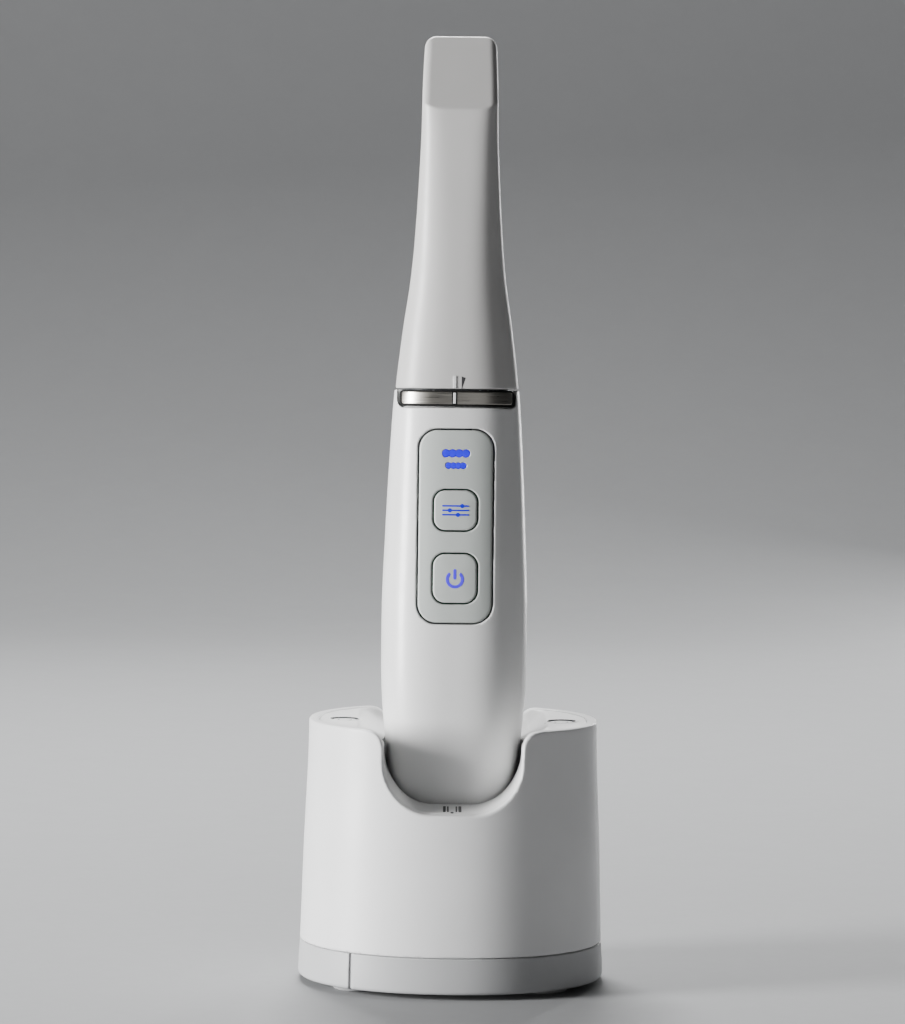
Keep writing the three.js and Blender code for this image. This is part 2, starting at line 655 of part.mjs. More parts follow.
[['left', -1], ['right', 1]].forEach(([word, side]) => {
	cradle.add(node(`screw_plug_${word}`, screwPlug(side), WHITE_SATIN));
	const headLow = PLUG_HOLE_Z + GAP;
	const headHigh = headLow + INSERT_SCREW.headHeight;
	const end = headLow - INSERT_SCREW.length;
	const screw = screwUp(side * PLUG_X, 0, { ...INSERT_SCREW, headLow, headHigh, end });
	cradle.add(node(`insert_screw_${word}`, screw, BRIGHT_STEEL));
});

// ---------------------------------------------------------------------------------------------
// Wand, in its own leaning frame
// ---------------------------------------------------------------------------------------------

// A skin of the wand's front surface, between two insets, trimmed to a rounded rectangle.
function frontInlay(nearInset, farInset, halfWidth, low, high, corner) {
	const layer = cut(
		wandForm(nearInset, low - 2, Math.min(high + 2, WAND_LENGTH)),
		wandForm(farInset, low - 4, high + 4),
	);
	return layer.intersect(roundedPrism(halfWidth, low, high, corner, -REACH, -2));
}

const body = new THREE.Group();
const bodyOuter = wandForm(0, END_CAP_TOP + GAP, BODY_TOP);
const bodyInner = wandForm(WAND_WALL, END_CAP_TOP - 1, BODY_TOP + 5);
const frontHalf = block([-REACH, -REACH, -REACH], [REACH, -GAP / 2, WAND_LENGTH + REACH]);
const rearHalf = block([-REACH, GAP / 2, -REACH], [REACH, REACH, WAND_LENGTH + REACH]);

function collarRecess() {
	const halfWidth = COLLAR.halfWidth + COLLAR_SURROUND;
	const low = COLLAR.low - COLLAR_SURROUND;
	const layer = cut(wandForm(-2, low - 3, BODY_TOP + 3), wandForm(COLLAR_DEPTH, low - 5, BODY_TOP + 5));
	const corner = COLLAR.corner + COLLAR_SURROUND;
	return layer.intersect(roundedPrism(halfWidth + GAP, low - GAP, BODY_TOP + 3, corner, -REACH, -2));
}

function shellBoss(screw, side) {
	const wallDepth = surfaceDepth(screw.x, screw.along, side) - side;
	const front = Math.min(side * GAP / 2, wallDepth);
	const back = Math.max(side * GAP / 2, wallDepth);
	const trimmed = wandForm(BOSS_TRIM, END_CAP_TOP + GAP, BODY_TOP);
	return barThrough(BOSS_RADIUS, screw.x, screw.along, front, back).intersect(trimmed);
}

function screwSeatDepth(screw) {
	return surfaceDepth(screw.x, screw.along, 1) - screw.sink;
}

function bodyFrontShell() {
	let shell = cut(bodyOuter, bodyInner).intersect(frontHalf);
	for (const screw of SHELL_SCREWS) {
		shell = shell.add(shellBoss(screw, -1));
		shell = cut(shell, barThrough(SCREW_BORE, screw.x, screw.along, SHELL_SCREW.tip - 1, REACH));
	}
	const panelHole = roundedPrism(
		PANEL.width / 2 + GAP,
		PANEL.low - GAP,
		PANEL.high + GAP,
		PANEL.corner + GAP,
		-REACH,
		-2,
	);
	return cut(shell, panelHole, collarRecess());
}

function bodyRearShell() {
	let shell = cut(bodyOuter, bodyInner).intersect(rearHalf);
	for (const screw of SHELL_SCREWS) {
		shell = shell.add(shellBoss(screw, 1));
		shell = cut(shell, barThrough(SCREW_BORE, screw.x, screw.along, 0, REACH));
		shell = cut(shell, barThrough(SCREW_SEAT_RADIUS, screw.x, screw.along, screwSeatDepth(screw), REACH));
	}
	return shell;
}

function shellScrew(screw) {
	const seat = screwSeatDepth(screw) + GAP / 2;
	const { headRadius, headHeight, shankRadius, tip: screwTip, slotReach } = SHELL_SCREW;
	const head = barThrough(headRadius, screw.x, screw.along, seat, seat + headHeight);
	const shank = barThrough(shankRadius, screw.x, screw.along, screwTip, seat + 0.2, 10);
	const slot = block(
		[screw.x - SLOT_WIDTH / 2, seat + headHeight - SLOT_DEPTH, screw.along - slotReach],
		[screw.x + SLOT_WIDTH / 2, seat + headHeight + SLOT_DEPTH, screw.along + slotReach],
	);
	return cut(joined(head, shank), slot);
}

function endCap() {
	return cut(wandForm(0, 0, END_CAP_TOP), wandForm(WAND_WALL, WAND_WALL, END_CAP_TOP + 3));
}

function lightHoles(grow, front, back) {
	const posts = [];
	for (const row of LIGHT_ROWS) {
		for (let i = 0; i < LIGHTS_PER_ROW; i += 1) {
			const x = (i - (LIGHTS_PER_ROW - 1) / 2) * row.pitch;
			posts.push(barThrough(row.radius + grow, x, row.along, front, back, 12));
		}
	}
	return joined(...posts);
}

function keypadPanel() {
	const back = PANEL_SINK + PANEL_THICKNESS;
	const panel = frontInlay(PANEL_SINK, back, PANEL.width / 2, PANEL.low, PANEL.high, PANEL.corner);
	const holes = [MODE, POWER].map((button) => roundedPrism(
		button.width / 2 + GAP,
		button.low - GAP,
		button.high + GAP,
		button.corner + GAP,
		-REACH,
		-2,
	));
	return cut(panel, ...holes, lightHoles(LIGHT_CLEARANCE, -REACH, -2));
}

function buttonCap(button) {
	const width = button.width / 2;
	return frontInlay(-BUTTON_PROUD, BUTTON_THICKNESS, width, button.low, button.high, button.corner);
}

function tactileSwitch(button) {
	const along = (button.low + button.high) / 2;
	const boardFront = KEYPAD_BOARD.front - GAP;
	const buttonBack = -wandHalfDepth(along) + BUTTON_THICKNESS;
	const { half, height, plungerRadius, slack } = SWITCH;
	const plungerFront = buttonBack + BUTTON_TRAVEL + slack;
	const housing = block([-half, boardFront - height, along - half], [half, boardFront, along + half]);
	return joined(housing, barThrough(plungerRadius, 0, along, plungerFront, boardFront - height / 2));
}

function lightGuide() {
	const [upper, lower] = LIGHT_ROWS;
	const back = KEYPAD_BOARD.front - GAP;
	const { halfWidth, thickness, below, above } = LIGHT_PLATE;
	const low = lower.along - below;
	const high = upper.along + above;
	const plate = slab({ halfWidth, front: back - thickness, back, low, high });
	const surface = wandForm(LIGHT_SINK, lower.along - 8, upper.along + 8);
	return joined(plate, lightHoles(0, -REACH, back - thickness / 2).intersect(surface));
}

function keypadBoard() {
	const { halfWidth, front, thickness, low, high } = KEYPAD_BOARD;
	return block([-halfWidth, front, low], [halfWidth, front + thickness, high]);
}

// Frame of the nose tube's sections: the sleeve's inner form less a clearance.
const NOSE_INSET = WAND_WALL + NOSE_CLEARANCE;
const RING_GROOVE = { low: 137.5, high: 139.5, depth: 0.9 };

function noseTube() {
	const tube = wandForm(NOSE_INSET, NOSE_LOW, NOSE_HIGH);
	const { ledge } = NOSE_WINDOW;
	const bore = wandForm(NOSE_INSET + NOSE_WALL, NOSE_LOW - 5, NOSE_HIGH - ledge + 0.5);
	const windowSeat = wandForm(NOSE_INSET + NOSE_WALL / 2, NOSE_HIGH - ledge, NOSE_HIGH + 5);
	const groove = cut(
		wandForm(-2, RING_GROOVE.low, RING_GROOVE.high),
		wandForm(NOSE_INSET + RING_GROOVE.depth, RING_GROOVE.low - 2, RING_GROOVE.high + 2),
	);
	return cut(tube, bore, windowSeat, groove);
}

function noseSealRing() {
	return cut(
		wandForm(SLEEVE_WALL + GAP, RING_GROOVE.low + GAP, RING_GROOVE.high - GAP),
		wandForm(NOSE_INSET + RING_GROOVE.depth - GAP, RING_GROOVE.low - 2, RING_GROOVE.high + 2),
	);
}

function noseWindow() {
	const high = NOSE_HIGH - NOSE_WINDOW.sink;
	return wandForm(NOSE_INSET + NOSE_WALL / 2 + GAP, high - NOSE_WINDOW.thickness, high);
}

function chassisFrame() {
	const { front, back, windowHalfWidth, windowCorner } = CHASSIS;
	const plate = slab({ ...BOARDS, front, back, halfWidth: BOARD_HALF_WIDTH });
	const windows = CHASSIS_WINDOWS.map(([low, high]) => (
		roundedPrism(windowHalfWidth, low, high, windowCorner, -REACH, REACH)
	));
	return cut(plate, ...windows);
}

function heatSink() {
	const { halfWidth, front, base, back, low, high } = HEAT_SINK;
	const fins = [];
	for (let i = 0; i < FINS.count; i += 1) {
		const x = (i - (FINS.count - 1) / 2) * FINS.pitch;
		fins.push(block([x - FINS.thickness / 2, front + base / 2, low], [x + FINS.thickness / 2, back, high]));
	}
	return joined(block([-halfWidth, front, low], [halfWidth, front + base, high]), ...fins);
}

function lensBarrel() {
	const { y, radius, low, high } = LENS;
	const along = (width, from, to) => barUp(width, 0, y, from, to, 18);
	const tube = joined(
		along(radius, low + 1, high - 1),
		along(LENS_FLANGE.radius, low, LENS_FLANGE.lowEnd),
		along(LENS_FLANGE.radius, LENS_FLANGE.highStart, high),
	);
	return cut(tube, along(LENS_BORE.radius, LENS_BORE.low, high + 1));
}

function projectorModule() {
	const { y, radius, bore, boreLow, high } = PROJECTOR_TUBE;
	const housing = slab(PROJECTOR_HOUSING);
	const tube = barUp(radius, 0, y, PROJECTOR_HOUSING.high - 1, high, 20);
	return cut(joined(housing, tube), barUp(bore, 0, y, boreLow, high + 1, 16));
}

function batteryCell() {
	const top = CELL_LOW + CELL_LENGTH;
	const { radius, height } = CELL_BUTTON;
	const button = barUp(radius, 0, 0, top - 0.5, top + height, 16);
	return joined(barUp(CELL_RADIUS, 0, 0, CELL_LOW, top, CELL_SIDES), button);
}

function batteryTray() {
	const low = CELL_LOW + TRAY.rise;
	const high = CELL_LOW + CELL_LENGTH;
	const trough = cut(
		barUp(CELL_RADIUS + GAP + TRAY.wall, 0, 0, low, high, CELL_SIDES),
		barUp(CELL_RADIUS + GAP, 0, 0, low - 5, high + 5, CELL_SIDES),
		block([-REACH, -REACH, 0], [REACH, TRAY.opening, high + 5]),
	);
	const bossRoom = SHELL_SCREWS.map((screw) => (
		barThrough(BOSS_RADIUS + GAP, screw.x, screw.along, 0, REACH)
	));
	return cut(trough, ...bossRoom);
}

function contactSpring() {
	const { radius, baseRadius, baseLow, baseHigh } = SPRING;
	const base = barUp(baseRadius, 0, 0, CELL_LOW - baseLow, CELL_LOW - baseHigh, 20);
	return joined(base, barUp(radius, 0, 0, CELL_LOW - baseHigh - 0.1, CELL_LOW - GAP, 20));
}

function contactPlate() {
	const low = CELL_LOW + CELL_LENGTH + CELL_BUTTON.height + GAP;
	const { half, thickness } = CONTACT_PLATE;
	return block([-half, -half, low], [half, half, low + thickness]);
}

body.add(node('body_front_shell', bodyFrontShell(), WHITE_SATIN));
body.add(node('body_rear_shell', bodyRearShell(), WHITE_SATIN));
body.add(node('end_cap', endCap(), WHITE_SATIN));
for (const screw of SHELL_SCREWS) body.add(node(screw.name, shellScrew(screw), BRIGHT_STEEL));

const collarTop = BODY_TOP - 0.1;
const gasketShape = frontInlay(
	GASKET.front,
	GASKET.back,
	COLLAR.halfWidth + COLLAR_SURROUND,
	COLLAR.low - COLLAR_SURROUND,
	collarTop,
	COLLAR.corner,
);
const bandShape = frontInlay(BAND.front, BAND.back, COLLAR.halfWidth, COLLAR.low, COLLAR.high, COLLAR.corner);
body.add(node('collar_gasket', gasketShape, BLACK_RUBBER));
body.add(node('collar_band', bandShape, STEEL));

body.add(node('keypad_panel', keypadPanel(), PANEL_GREY));
body.add(node('status_light_guide', lightGuide(), BLUE_LIGHT));
body.add(node('keypad_board', keypadBoard(), BOARD_GREEN));
body.add(node('mode_switch', tactileSwitch(MODE), CHIP_BLACK));
body.add(node('power_switch', tactileSwitch(POWER), CHIP_BLACK));
body.add(node('mode_button', buttonCap(MODE), PANEL_GREY));
body.add(node('power_button', buttonCap(POWER), PANEL_GREY));

body.add(node('chassis_frame', chassisFrame(), ALUMINIUM));
body.add(node('main_board', slab({ ...MAIN_BOARD, ...BOARDS, halfWidth: BOARD_HALF_WIDTH }), BOARD_GREEN));
body.add(node('processor_chip', slab(PROCESSOR), CHIP_BLACK));
body.add(node('wireless_module', slab(RADIO), BRIGHT_STEEL));
body.add(node('heat_sink', heatSink(), ALUMINIUM));
body.add(node('image_sensor_board', slab(SENSOR_BOARD), BOARD_GREEN));
body.add(node('lens_barrel', lensBarrel(), CHIP_BLACK));
body.add(node('pattern_projector', projectorModule(), DARK_PLASTIC));
body.add(node('nose_tube', noseTube(), DARK_PLASTIC));
body.add(node('nose_seal_ring', noseSealRing(), BLACK_RUBBER));
body.add(node('nose_window', noseWindow(), GLASS));
body.add(node('battery_cell', batteryCell(), CELL_WRAP));
body.add(node('battery_tray', batteryTray(), DARK_PLASTIC));
body.add(node('battery_contact_spring', contactSpring(), GOLD));
body.add(node('battery_contact_plate', contactPlate(), GOLD));

// ---------------------------------------------------------------------------------------------
// Detachable tip
// ---------------------------------------------------------------------------------------------

const tip = new THREE.Group();
const facetFront = new THREE.Vector2(wandOffset(FACET_START) - wandHalfDepth(FACET_START), FACET_START);
const facetBack = new THREE.Vector2(
	wandOffset(WAND_LENGTH) + wandHalfDepth(WAND_LENGTH) - FACET_TOP_EDGE,
	WAND_LENGTH,
);
const facetSlope = Math.atan2(facetBack.x - facetFront.x, facetBack.y - facetFront.y);

// Everything in front of and above the slanted facet plane, moved inwards by an offset.
function aboveFacet(offset) {
	const geometry = new THREE.BoxGeometry(REACH, REACH, REACH * 2);
	geometry.translate(0, -REACH / 2 + offset, 0);
	geometry.rotateX(-facetSlope);
	geometry.translate(0, facetFront.x, facetFront.y);
	return solid(geometry);
}

function tipSleeve() {
	const outer = cut(wandForm(0, SLEEVE_START, WAND_LENGTH), aboveFacet(0));
	const inner = cut(
		wandForm(SLEEVE_WALL, SLEEVE_START - 5, WAND_LENGTH - SLEEVE_TOP_WALL),
		aboveFacet(FACET_WALL),
	);
	const window = roundedPrism(WINDOW.halfWidth, WINDOW.low, WINDOW.high, WINDOW.corner, 2, REACH);
	const topHalfWidth = wandHalfWidth(WAND_LENGTH) + GAP;
	const roundedTop = roundedPrism(topHalfWidth, FACET_START, WAND_LENGTH, HEAD_CORNER, -REACH, REACH);
	const topCorners = cut(
		block([-REACH, -REACH, WAND_LENGTH - HEAD_CORNER], [REACH, REACH, WAND_LENGTH + 1]),
		roundedTop,
	);
	return cut(outer, inner, window, topCorners);
}

function tipMirror() {
	const room = wandForm(SLEEVE_WALL + GAP, FACET_START - 10, MIRROR_TOP);
	const sheet = cut(aboveFacet(FACET_WALL + GAP + MIRROR_THICKNESS), aboveFacet(FACET_WALL + GAP));
	return sheet.intersect(room);
}

tip.add(node('tip_sleeve', tipSleeve(), WHITE_MATTE));
tip.add(node('tip_mirror', tipMirror(), MIRROR));

const wand = new THREE.Group();
wand.position.copy(BUTT);
wand.rotation.x = -LEAN;
wand.add(body, tip);

const scanner = new THREE.Group();
scanner.add(cradle, wand);

export default scanner;
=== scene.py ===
"""Looks for a wireless intraoral scanning wand standing in its desk cradle.

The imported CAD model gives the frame. The visible shells are rebuilt here as fine meshes: each is
a field (negative inside) turned into quads, so every edge has a real radius. So are the nose tube
and its ring, which show when the tip is off. The other inner pieces keep their CAD meshes and get
materials. Fields work in millimetres, objects in metres.
"""

import json
import math

import bpy
import numpy as np
from mathutils import Matrix, Vector


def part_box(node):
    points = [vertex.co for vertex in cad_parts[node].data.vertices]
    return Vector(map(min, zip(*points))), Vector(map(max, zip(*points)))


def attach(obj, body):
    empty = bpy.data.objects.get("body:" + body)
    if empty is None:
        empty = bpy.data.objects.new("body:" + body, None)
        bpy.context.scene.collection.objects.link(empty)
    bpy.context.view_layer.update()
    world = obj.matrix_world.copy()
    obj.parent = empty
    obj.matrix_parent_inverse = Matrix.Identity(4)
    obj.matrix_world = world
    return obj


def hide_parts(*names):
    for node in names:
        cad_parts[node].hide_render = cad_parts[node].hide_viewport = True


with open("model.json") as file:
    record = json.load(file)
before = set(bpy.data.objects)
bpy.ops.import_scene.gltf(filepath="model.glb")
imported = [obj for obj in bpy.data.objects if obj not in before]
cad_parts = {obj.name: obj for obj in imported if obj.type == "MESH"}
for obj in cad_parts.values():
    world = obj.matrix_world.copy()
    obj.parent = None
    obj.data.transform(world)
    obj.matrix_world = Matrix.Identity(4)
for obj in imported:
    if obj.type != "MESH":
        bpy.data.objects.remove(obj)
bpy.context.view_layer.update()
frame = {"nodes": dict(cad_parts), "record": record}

MM = 0.001

# ------------------------------------------------------------------------------------------------
# Driving dimensions, in millimetres. They are the CAD part's, but for the squareness of the tip's
# end, the cut's floor and flare, the plugs, the status lights, and the gaps that show.
# ------------------------------------------------------------------------------------------------

GAP = 0.3  # between neighbouring pieces

RIM_Z = 69.2
SEAM_Z = 10.9
SKIRT_BOTTOM_Z = 1.5
CRADLE_DEPTH_RATIO = 0.88
CRADLE_POWER = 2.15
CRADLE_WALL = 2.4
CRADLE_STATIONS = [(3, 40.1), (SEAM_Z, 39.7), (34, 39.0), (RIM_Z, 37.8)]
CUT_HALF_WIDTH = 17.9
CUT_FLARE = 5.6
FRONT_CUT = {"bottom": RIM_Z - 21.5, "corner": 12.9, "rise": 0.06}
REAR_CUT = {"bottom": RIM_Z - 12, "corner": 10.0, "rise": 0.0}
CUT_WALL = 2.2
DISH_DEPTH = 5.6
DISH_END_DEPTH = 0.35
DISH_SLOPE = 0.72
DISH_END_X = 25.2
DISH_POWER = 14
PLUG_X = 28.5
PLUG_RADIUS = 3.25
PLUG_SINK = 0.25
PLUG_GAP = 0.5  # gap round a plug, whose wall is painted dark as shade
SEAT_RADIUS = 4.6  # fine rim laid into the dish round a plug
SEAT_PROUD = 0.03
SEAT_DEPTH = 1.0
HOLE_MARGIN = 0.3  # how much wider the insert's own hole is, hidden by that rim
DIMPLE_RADIUS = 1.75
DIMPLE_DEPTH = 0.6
PLUG_SEAT_Z = RIM_Z - 4.8
PLUG_HOLE_Z = RIM_Z - 8.5
INSERT_CAP_Z = RIM_Z - 16
FOOT_RADIUS = 6.0
FOOT_HEIGHT = 2.4
SKIRT_GROOVE_X = -25.6
BASE_SCREW_X = 31.5
BASE_SCREW_Y = 11
BASE_SCREW_HOLE = 1.4
BASE_BOSS_RADIUS = 3

LEAN = math.radians(2.5)
BUTT_Y = -3.0
BUTT_Z = 20.4
WAND_LENGTH = 228.0
WAND_WALL = 2.2
END_CAP_TOP = 5.0
BODY_TOP = 135.0
SLEEVE_START = BODY_TOP + GAP
SOCKET_CLEARANCE = 0.9
SOCKET_WALL = 2.2
CUP_TOP_Z = RIM_Z - 4  # the socket's wall runs up into the cap, whose dish trims it
WAND_STATIONS = [
    (0, 8.6, 7.8, 0),
    (1.2, 11.4, 10.4, 0),
    (4, 13.2, 12.1, 0),
    (12, 14.7, 13.4, 0),
    (37, 17.1, 15.7, 0),
    (55, 18.8, 17.2, 0),
    (75, 19.1, 17.5, 0),
    (100, 18.3, 16.7, 0),
    (117, 17.5, 15.3, -0.1),
    (134, 16.4, 13.9, -0.3),
    (150, 14.6, 12.6, -0.5),
    (165, 12.5, 11.3, -0.8),
    (180, 11.3, 10.4, -1.1),
    (200, 10.3, 9.7, -1.3),
    (216, 10.0, 9.2, -1.4),
    (WAND_LENGTH, 9.7, 8.9, -1.5),
]
WAND_POWERS = [(0, 2.8), (140, 2.8), (200, 4.2), (WAND_LENGTH, 7.5)]

SLEEVE_WALL = 1.5
SLEEVE_TOP_WALL = 1.6
FACET_START = 208
FACET_TOP_EDGE = 1.5
HEAD_CORNER = 3.3
HEAD_INSET = 0.1  # how far the head's rounded outline lies inside the sleeve's sides
FACET_EDGE = 0.35  # blend where the facet leaves the front
FACET_SIDE = 2.4  # blend along the facet's two sides
FACET_WALL = 1.8
WINDOW = {"half_width": 6.6, "low": 205.5, "high": 221.5, "corner": 3.0}

COLLAR = {"half_width": 14.4, "low": 131.3, "high": 134.5, "corner": 0.6}
COLLAR_SURROUND = 0.6
NOSE_LOW = 126.5
NOSE_HIGH = 178.0
NOSE_CLEARANCE = 0.7
NOSE_INSET = WAND_WALL + NOSE_CLEARANCE
NOSE_WALL = 1.4
NOSE_LEDGE = 3.5  # depth of the seat that the window sits in
RING_GROOVE = {"low": 137.5, "high": 139.5, "depth": 0.9}

PANEL = {"half_width": 9.55, "low": 74.7, "high": 124.6, "corner": 4.9}
MODE = {"half_width": 5.55, "low": 98.7, "high": 109.0, "corner": 3.0}
POWER = {"half_width": 5.65, "low": 79.9, "high": 92.5, "corner": 3.2}
PANEL_THICKNESS = 1.4
KEYPAD_GROOVE = 0.42  # what shows of the gap round the panel and the keys
BUTTON_THICKNESS = 1.6
BUTTON_PROUD = 0.15
LIGHT_ROWS = [(118.6, 0.97, 1.73), (115.4, 0.75, 1.27)]  # distance along, radius, pitch
LIGHTS_PER_ROW = 4
LIGHT_BLEND = 0.06  # where neighbouring lights run together
LIGHT_PLATE_EASE = 0.025  # taken off the plate that carries the posts
UPPER_SCREWS = {"x": 12.8, "along": 112.0, "sink": 3.8}
LOWER_SCREWS = {"x": 12.5, "along": 24.0, "sink": 4.7}
RING_EASE = 0.15  # room between the seal ring and its groove


# ------------------------------------------------------------------------------------------------
# Curves and fields
# ------------------------------------------------------------------------------------------------

PROFILE_STEP = 0.05


def profile(stations):
    """A smooth curve through (position, value) stations that never overshoots them."""
    at = np.array([station[0] for station in stations], float)
    value = np.array([station[1] for station in stations], float)
    slope = np.zeros(len(at))
    for i in range(1, len(at) - 1):
        if (value[i] - value[i - 1]) * (value[i + 1] - value[i]) > 0:
            slope[i] = (value[i + 1] - value[i - 1]) / (at[i + 1] - at[i - 1])
    fine = np.arange(at[0], at[-1] + PROFILE_STEP, PROFILE_STEP)
    i = np.clip(np.searchsorted(at, fine, side="right") - 1, 0, len(at) - 2)
    span = at[i + 1] - at[i]
    t = np.clip((fine - at[i]) / span, 0, 1)
    curve = value[i] + (value[i + 1] - value[i]) * t * t * (3 - 2 * t)
    curve += t * (1 - t) ** 2 * span * slope[i] - t * t * (1 - t) * span * slope[i + 1]
    return lambda position: np.interp(position, fine, curve)


wand_half_width = profile([(s[0], s[1]) for s in WAND_STATIONS])
wand_half_depth = profile([(s[0], s[2]) for s in WAND_STATIONS])
wand_offset = profile([(s[0], s[3]) for s in WAND_STATIONS])
wand_power = profile(WAND_POWERS)
cradle_half_width = profile(CRADLE_STATIONS)


def smooth_max(a, b, blend):
    share = np.clip(0.5 + 0.5 * (a - b) / blend, 0, 1)
    return b + (a - b) * share + blend * share * (1 - share)


def smooth_min(a, b, blend):
    return -smooth_max(-a, -b, blend)


def carve(body, tool, blend):
    """The body with the tool taken out of it."""
    return smooth_max(body, -tool, blend)


def rounded_outline(x, y, half_width, half_depth, power):
    """Near-distance to a rounded outline of the given power, negative inside."""
    across = np.abs(x) / half_width
    deep = np.abs(y) / half_depth
    size = np.maximum((across ** power + deep ** power) ** (1 / power), 1e-3)
    slope_x = across ** (power - 1) / half_width
    slope_y = deep ** (power - 1) / half_depth
    slope = np.hypot(slope_x, slope_y) * size ** (1 - power)
    return (size - 1) / np.maximum(slope, 0.5 / half_width)


def wand_field(x, y, z):
    return rounded_outline(x, y - wand_offset(z), wand_half_width(z), wand_half_depth(z), wand_power(z))


def cradle_field(x, y, z):
    half_width = cradle_half_width(z)
    return rounded_outline(x, y, half_width, half_width * CRADLE_DEPTH_RATIO, CRADLE_POWER)


def rounded_rectangle(x, z, shape, grow=0.0):
    """Distance to a rounded rectangle in the X-Z plane."""
    half_height = (shape["high"] - shape["low"]) / 2 + grow
    middle = (shape["high"] + shape["low"]) / 2
    corner = shape["corner"] + grow
    away_x = np.abs(x) - (shape["half_width"] + grow) + corner
    away_z = np.abs(z - middle) - half_height + corner
    outside = np.hypot(np.maximum(away_x, 0), np.maximum(away_z, 0))
    return outside + np.minimum(np.maximum(away_x, away_z), 0) - corner


def cut_field(x, y, z, size, side, grow=0.0, flare=CUT_FLARE):
    """Distance to the U-shaped cut through the cradle's front (side -1) or back (side 1)."""
    face_y = side * cradle_half_width(size["bottom"]) * CRADLE_DEPTH_RATIO
    floor_rise = size["rise"] * np.abs(y - face_y)
    slot = {
        "half_width": CUT_HALF_WIDTH,
        "low": size["bottom"],
        "high": RIM_Z + 90,
        "corner": size["corner"],
    }
    field = rounded_rectangle(x, z - floor_rise, slot, grow)
    if flare > 0:
        field = smooth_min(field, RIM_Z - z, flare)
    return np.maximum(field, side * -y)


def light_field(x, z, grow=0.0):
    field = np.full(np.broadcast(x, z).shape, 1e3)
    for along, radius, pitch in LIGHT_ROWS:
        for i in range(LIGHTS_PER_ROW):
            centre = (i - (LIGHTS_PER_ROW - 1) / 2) * pitch
            field = smooth_min(field, np.hypot(x - centre, z - along) - radius - grow, LIGHT_BLEND)
    return field


# ------------------------------------------------------------------------------------------------
# Fields to meshes
# ------------------------------------------------------------------------------------------------

CORNERS = [(i, j, k) for i in (0, 1) for j in (0, 1) for k in (0, 1)]
EDGES = [
    (a, b) for a in CORNERS for b in CORNERS
    if sum(b) - sum(a) == 1 and all(q >= p for p, q in zip(a, b))
]


def gradient(field, points, reach=0.02):
    slopes = []
    for axis in range(3):
        shift = np.zeros(3)
        shift[axis] = reach
        slopes.append(field(*(points + shift).T) - field(*(points - shift).T))
    return np.stack(slopes, axis=1) / (2 * reach)


def settle(field, points, most, rounds=2):
    """Moves points onto the field's zero surface, no further than most in a round."""
    for _ in range(rounds):
        slope = gradient(field, points)
        step = field(*points.T)[:, None] * slope / np.maximum((slope ** 2).sum(1), 0.05)[:, None]
        length = np.maximum(np.linalg.norm(step, axis=1), 1e-9)[:, None]
        points = points - step * np.minimum(1, most / length)
    return points


def surface_net(field, low, high, step):
    """Quads over the zero surface of a field, with vertices evened out along the surface."""
    step = np.array(step, float)
    axes = [np.arange(a, b + s, s) for a, b, s in zip(low, high, step)]
    values = field(*np.meshgrid(*axes, indexing="ij"))
    inside = values < 0
    shape = np.array(values.shape) - 1
    count = np.zeros(shape, int)
    for corner in CORNERS:
        window = tuple(slice(c, c + n) for c, n in zip(corner, shape))
        count += inside[window]
    cells = np.argwhere((count > 0) & (count < 8))
    ids = np.full(shape, -1)
    ids[tuple(cells.T)] = np.arange(len(cells))
    total = np.zeros((len(cells), 3))
    hits = np.zeros(len(cells))
    for start, end in EDGES:
        from_value = values[tuple((cells + start).T)]
        to_value = values[tuple((cells + end).T)]
        crosses = (from_value < 0) != (to_value < 0)
        share = np.where(crosses, from_value / np.where(crosses, from_value - to_value, 1), 0)
        place = cells + np.array(start) + share[:, None] * (np.array(end) - np.array(start))
        total += place * crosses[:, None]
        hits += crosses
    points = np.array(low) + total / hits[:, None] * step

    quads = []
    for axis in range(3):
        side, other = [(1, 2), (2, 0), (0, 1)][axis]
        near = [slice(1, -1)] * 3
        near[axis] = slice(0, -1)
        far = list(near)
        far[axis] = slice(1, None)
        crossing = inside[tuple(near)] != inside[tuple(far)]
        at = np.argwhere(crossing) + [0 if a == axis else 1 for a in range(3)]
        back_side = np.eye(3, dtype=int)[side]
        back_other = np.eye(3, dtype=int)[other]
        ring = [at - back_side - back_other, at - back_other, at, at - back_side]
        quad = np.stack([ids[tuple(cell.T)] for cell in ring], axis=1)
        leaving = inside[tuple(at.T)]
        quads.append(np.where(leaving[:, None], quad, quad[:, ::-1]))
    quads = np.concatenate(quads)

    most = step.min() * 0.5
    points = settle(field, points, most)
    for _ in range(3):
        centres = points[quads].mean(axis=1)
        total = np.zeros_like(points)
        hits = np.zeros(len(points))
        for corner in range(4):
            np.add.at(total, quads[:, corner], centres)
            np.add.at(hits, quads[:, corner], 1)
        points = settle(field, 0.4 * points + 0.6 * total / hits[:, None], most, rounds=1)
    points = settle(field, points, most)
    slope = gradient(field, points)
    normals = slope / np.maximum(np.linalg.norm(slope, axis=1), 1e-9)[:, None]
    return points, quads, normals


WAND_TO_WORLD = (
    Matrix.Translation((0, BUTT_Y * MM, BUTT_Z * MM))
    @ Matrix.Rotation(-LEAN, 4, "X")
    @ Matrix.Scale(MM, 4)
)
CRADLE_TO_WORLD = Matrix.Scale(MM, 4)


def new_object(name, points, faces, matrix, material, normals=None):
    """A smooth-shaded mesh object at the origin, with its place in its vertices."""
    turn = np.array(matrix.to_3x3().normalized())
    placed = np.asarray(points) @ np.array(matrix.to_3x3()).T + np.array(matrix.translation)
    mesh = bpy.data.meshes.new(name)
    mesh.from_pydata(placed.tolist(), [], [list(map(int, face)) for face in faces])
    mesh.materials.append(material)
    mesh.shade_smooth()
    if normals is not None:
        mesh.normals_split_custom_set_from_vertices((normals @ turn.T).tolist())
    piece = bpy.data.objects.new(name, mesh)
    bpy.context.scene.collection.objects.link(piece)
    return piece


